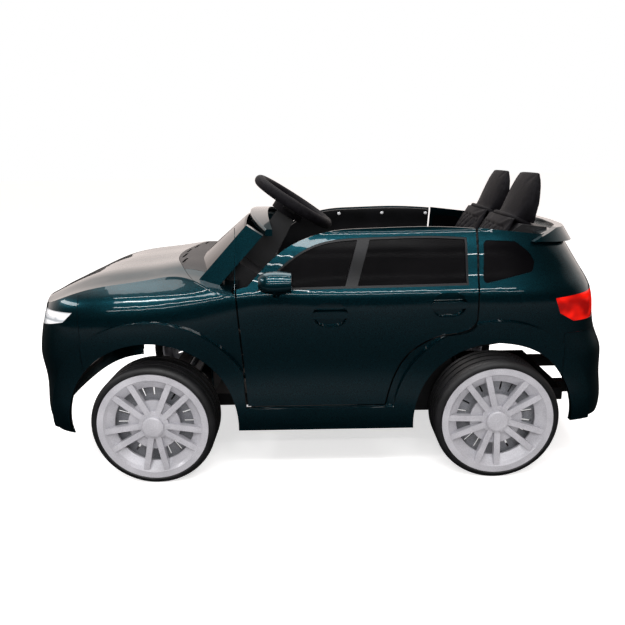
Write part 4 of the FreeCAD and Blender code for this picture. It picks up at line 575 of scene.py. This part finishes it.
def paleFloor():
    half = floorSettings["size"] / 2.0
    mesh = bpy.data.meshes.new("studioFloor")
    corners = [(-half, -half, 0.0), (half, -half, 0.0), (half, half, 0.0), (-half, half, 0.0)]
    mesh.from_pydata(corners, [], [(0, 1, 2, 3)])
    material, tree, shader, place = startMaterial("matFloorPaint", floorSettings["surface"])
    rays = addNode(tree, "ShaderNodeLightPath").outputs
    lift = combine(tree, "MULTIPLY", rays["Is Camera Ray"], floorSettings["lift"])  # for the camera only
    tree.links.new(lift, shader.inputs["Emission Strength"])
    pale = colourRamp(tree, noise(tree, place, floorSettings["speck"]), floorSettings["pale"])
    # painted reflection: bands across y, dark, then paler, then dark, seen only by mirror rays so that the
    # paint mirrors them
    run = addNode(tree, "ShaderNodeSeparateXYZ", {0: place}).outputs["Y"]
    nearness = addNode(tree, "ShaderNodeMapRange", {
        "Value": run, "From Min": floorSettings["paintedReflectionRun"][0], "From Max": floorSettings["paintedReflectionRun"][1]})
    paintedReflection = colourRamp(tree, nearness.outputs["Result"], floorSettings["paintedReflection"])
    both = addNode(tree, "ShaderNodeMix", {"Factor": rays["Is Glossy Ray"], "A": pale, "B": paintedReflection},
                   data_type="RGBA")
    tree.links.new(both.outputs["Result"], shader.inputs["Base Color"])
    mesh.materials.append(material)
    floor = bpy.data.objects.new("studioFloor", mesh)
    scene.collection.objects.link(floor)


# surround: white to the camera, and to mirror rays white behind the car with a dim warm room in front of it
surroundSettings = {"skyLevel": 0.5, "warm": "#fbeee8", "turn": (-0.35, 0.25), "levels": (0.03, 1.0)}


def whiteSurround():
    world = bpy.data.worlds.new("studioSurround")
    world.use_nodes = True
    tree = world.node_tree
    tree.nodes.clear()
    rays = addNode(tree, "ShaderNodeLightPath").outputs
    direction = addNode(tree, "ShaderNodeTexCoord").outputs["Generated"]
    way = addNode(tree, "ShaderNodeSeparateXYZ", {0: direction})
    behind = addNode(tree, "ShaderNodeMapRange", {
        "Value": way.outputs["Y"],
        "From Min": surroundSettings["turn"][0], "From Max": surroundSettings["turn"][1],
        "To Min": surroundSettings["levels"][0], "To Max": surroundSettings["levels"][1]})
    mirrored = combine(tree, "MULTIPLY", rays["Is Glossy Ray"], behind.outputs["Result"])
    seen = combine(tree, "MAXIMUM", rays["Is Camera Ray"], rays["Is Transmission Ray"])
    lit = combine(tree, "MULTIPLY", rays["Is Diffuse Ray"], surroundSettings["skyLevel"])
    level = combine(tree, "MAXIMUM", combine(tree, "MAXIMUM", seen, mirrored), lit)
    hall = addNode(tree, "ShaderNodeMix", {"Factor": seen, "A": toLinear(surroundSettings["warm"]),
                                           "B": toLinear("#ffffff")}, data_type="RGBA")
    sky = addNode(tree, "ShaderNodeBackground", {"Color": hall.outputs["Result"], "Strength": level})
    addNode(tree, "ShaderNodeOutputWorld", {"Surface": sky.outputs[0]})
    scene.world = world


# lamps: place, point aimed at, size in metres and power in watts
lampSettings = {
    "overheadSoftbox": ((0.0, 0.5, 2.3), (0.0, 0.0, 0.2), (2.6, 1.8), 46.0),
    "nearStrip": ((-0.2, -1.9, 2.0), (0.0, -0.2, 0.25), (2.2, 0.25), 20.0),
    "noseStrip": ((-2.3, -0.9, 1.5), (-0.3, 0.0, 0.3), (1.2, 0.3), 12.0),
    "shoulderStrip": ((0.0, -2.6, 1.5), (0.0, -0.3, 0.35), (3.0, 0.05), 14.0),
    "railStrip": ((0.1, -1.0, 2.6), (0.0, -0.2, 0.45), (3.0, 0.06), 16.0),
    "archStrip": ((0.0, -2.5, 0.95), (0.0, -0.3, 0.25), (3.0, 0.04), 6.0),
}
# small ceiling lamps in a row, turned in towards the car, that spark along the creases
ceilingSettings = {"count": 4, "first": -1.35, "spacing": 0.9, "y": -2.4, "height": 2.7, "turnIn": 0.4,
                   "aim": (-0.2, 0.3), "size": (0.34, 0.1), "power": 5.0}
for count in range(ceilingSettings["count"]):
    x = ceilingSettings["first"] + ceilingSettings["spacing"] * count
    lampSettings["ceilingLamp%d" % count] = (
        (x, ceilingSettings["y"], ceilingSettings["height"]),
        (x * ceilingSettings["turnIn"], *ceilingSettings["aim"]),
        ceilingSettings["size"], ceilingSettings["power"])


def softLamp(name, place, target, size, power):
    lamp = bpy.data.lights.new(name, "AREA")
    lamp.shape, lamp.size, lamp.size_y, lamp.energy = "RECTANGLE", size[0], size[1], power
    holder = bpy.data.objects.new(name, lamp)
    holder.location = place
    holder.rotation_euler = (Vector(target) - Vector(place)).to_track_quat("-Z", "Y").to_euler()
    scene.collection.objects.link(holder)


# camera at the photograph's place: fitted to both wheels, in metres and degrees
cameraSettings = {"place": (-0.0098, -1.4337, 0.6357), "pitch": 15.15, "yaw": 0.13, "roll": -0.94,
                  "focalPx": 621.5, "framePx": 625.0, "centrePx": (320.0, 325.0), "sensorMm": 36.0,
                  "nearest": 0.05}


def photoCamera():
    data = bpy.data.cameras.new("photoCamera")
    size = cameraSettings["framePx"]
    data.sensor_width = cameraSettings["sensorMm"]
    data.lens = cameraSettings["sensorMm"] * cameraSettings["focalPx"] / size
    data.shift_x = (size / 2.0 - cameraSettings["centrePx"][0]) / size
    data.shift_y = (cameraSettings["centrePx"][1] - size / 2.0) / size
    data.clip_start = cameraSettings["nearest"]
    camera = bpy.data.objects.new("photoCamera", data)
    turn = (Matrix.Rotation(-math.radians(cameraSettings["yaw"]), 4, "Z")
            @ Matrix.Rotation(math.radians(90.0 - cameraSettings["pitch"]), 4, "X")
            @ Matrix.Rotation(math.radians(cameraSettings["roll"]), 4, "Z"))
    camera.matrix_world = Matrix.Translation(cameraSettings["place"]) @ turn
    scene.collection.objects.link(camera)
    scene.camera = camera


paleFloor()
whiteSurround()
for name, lampValues in lampSettings.items():
    softLamp(name, *lampValues)
photoCamera()
scene.view_settings.view_transform = "Standard"
print("studio and camera set")
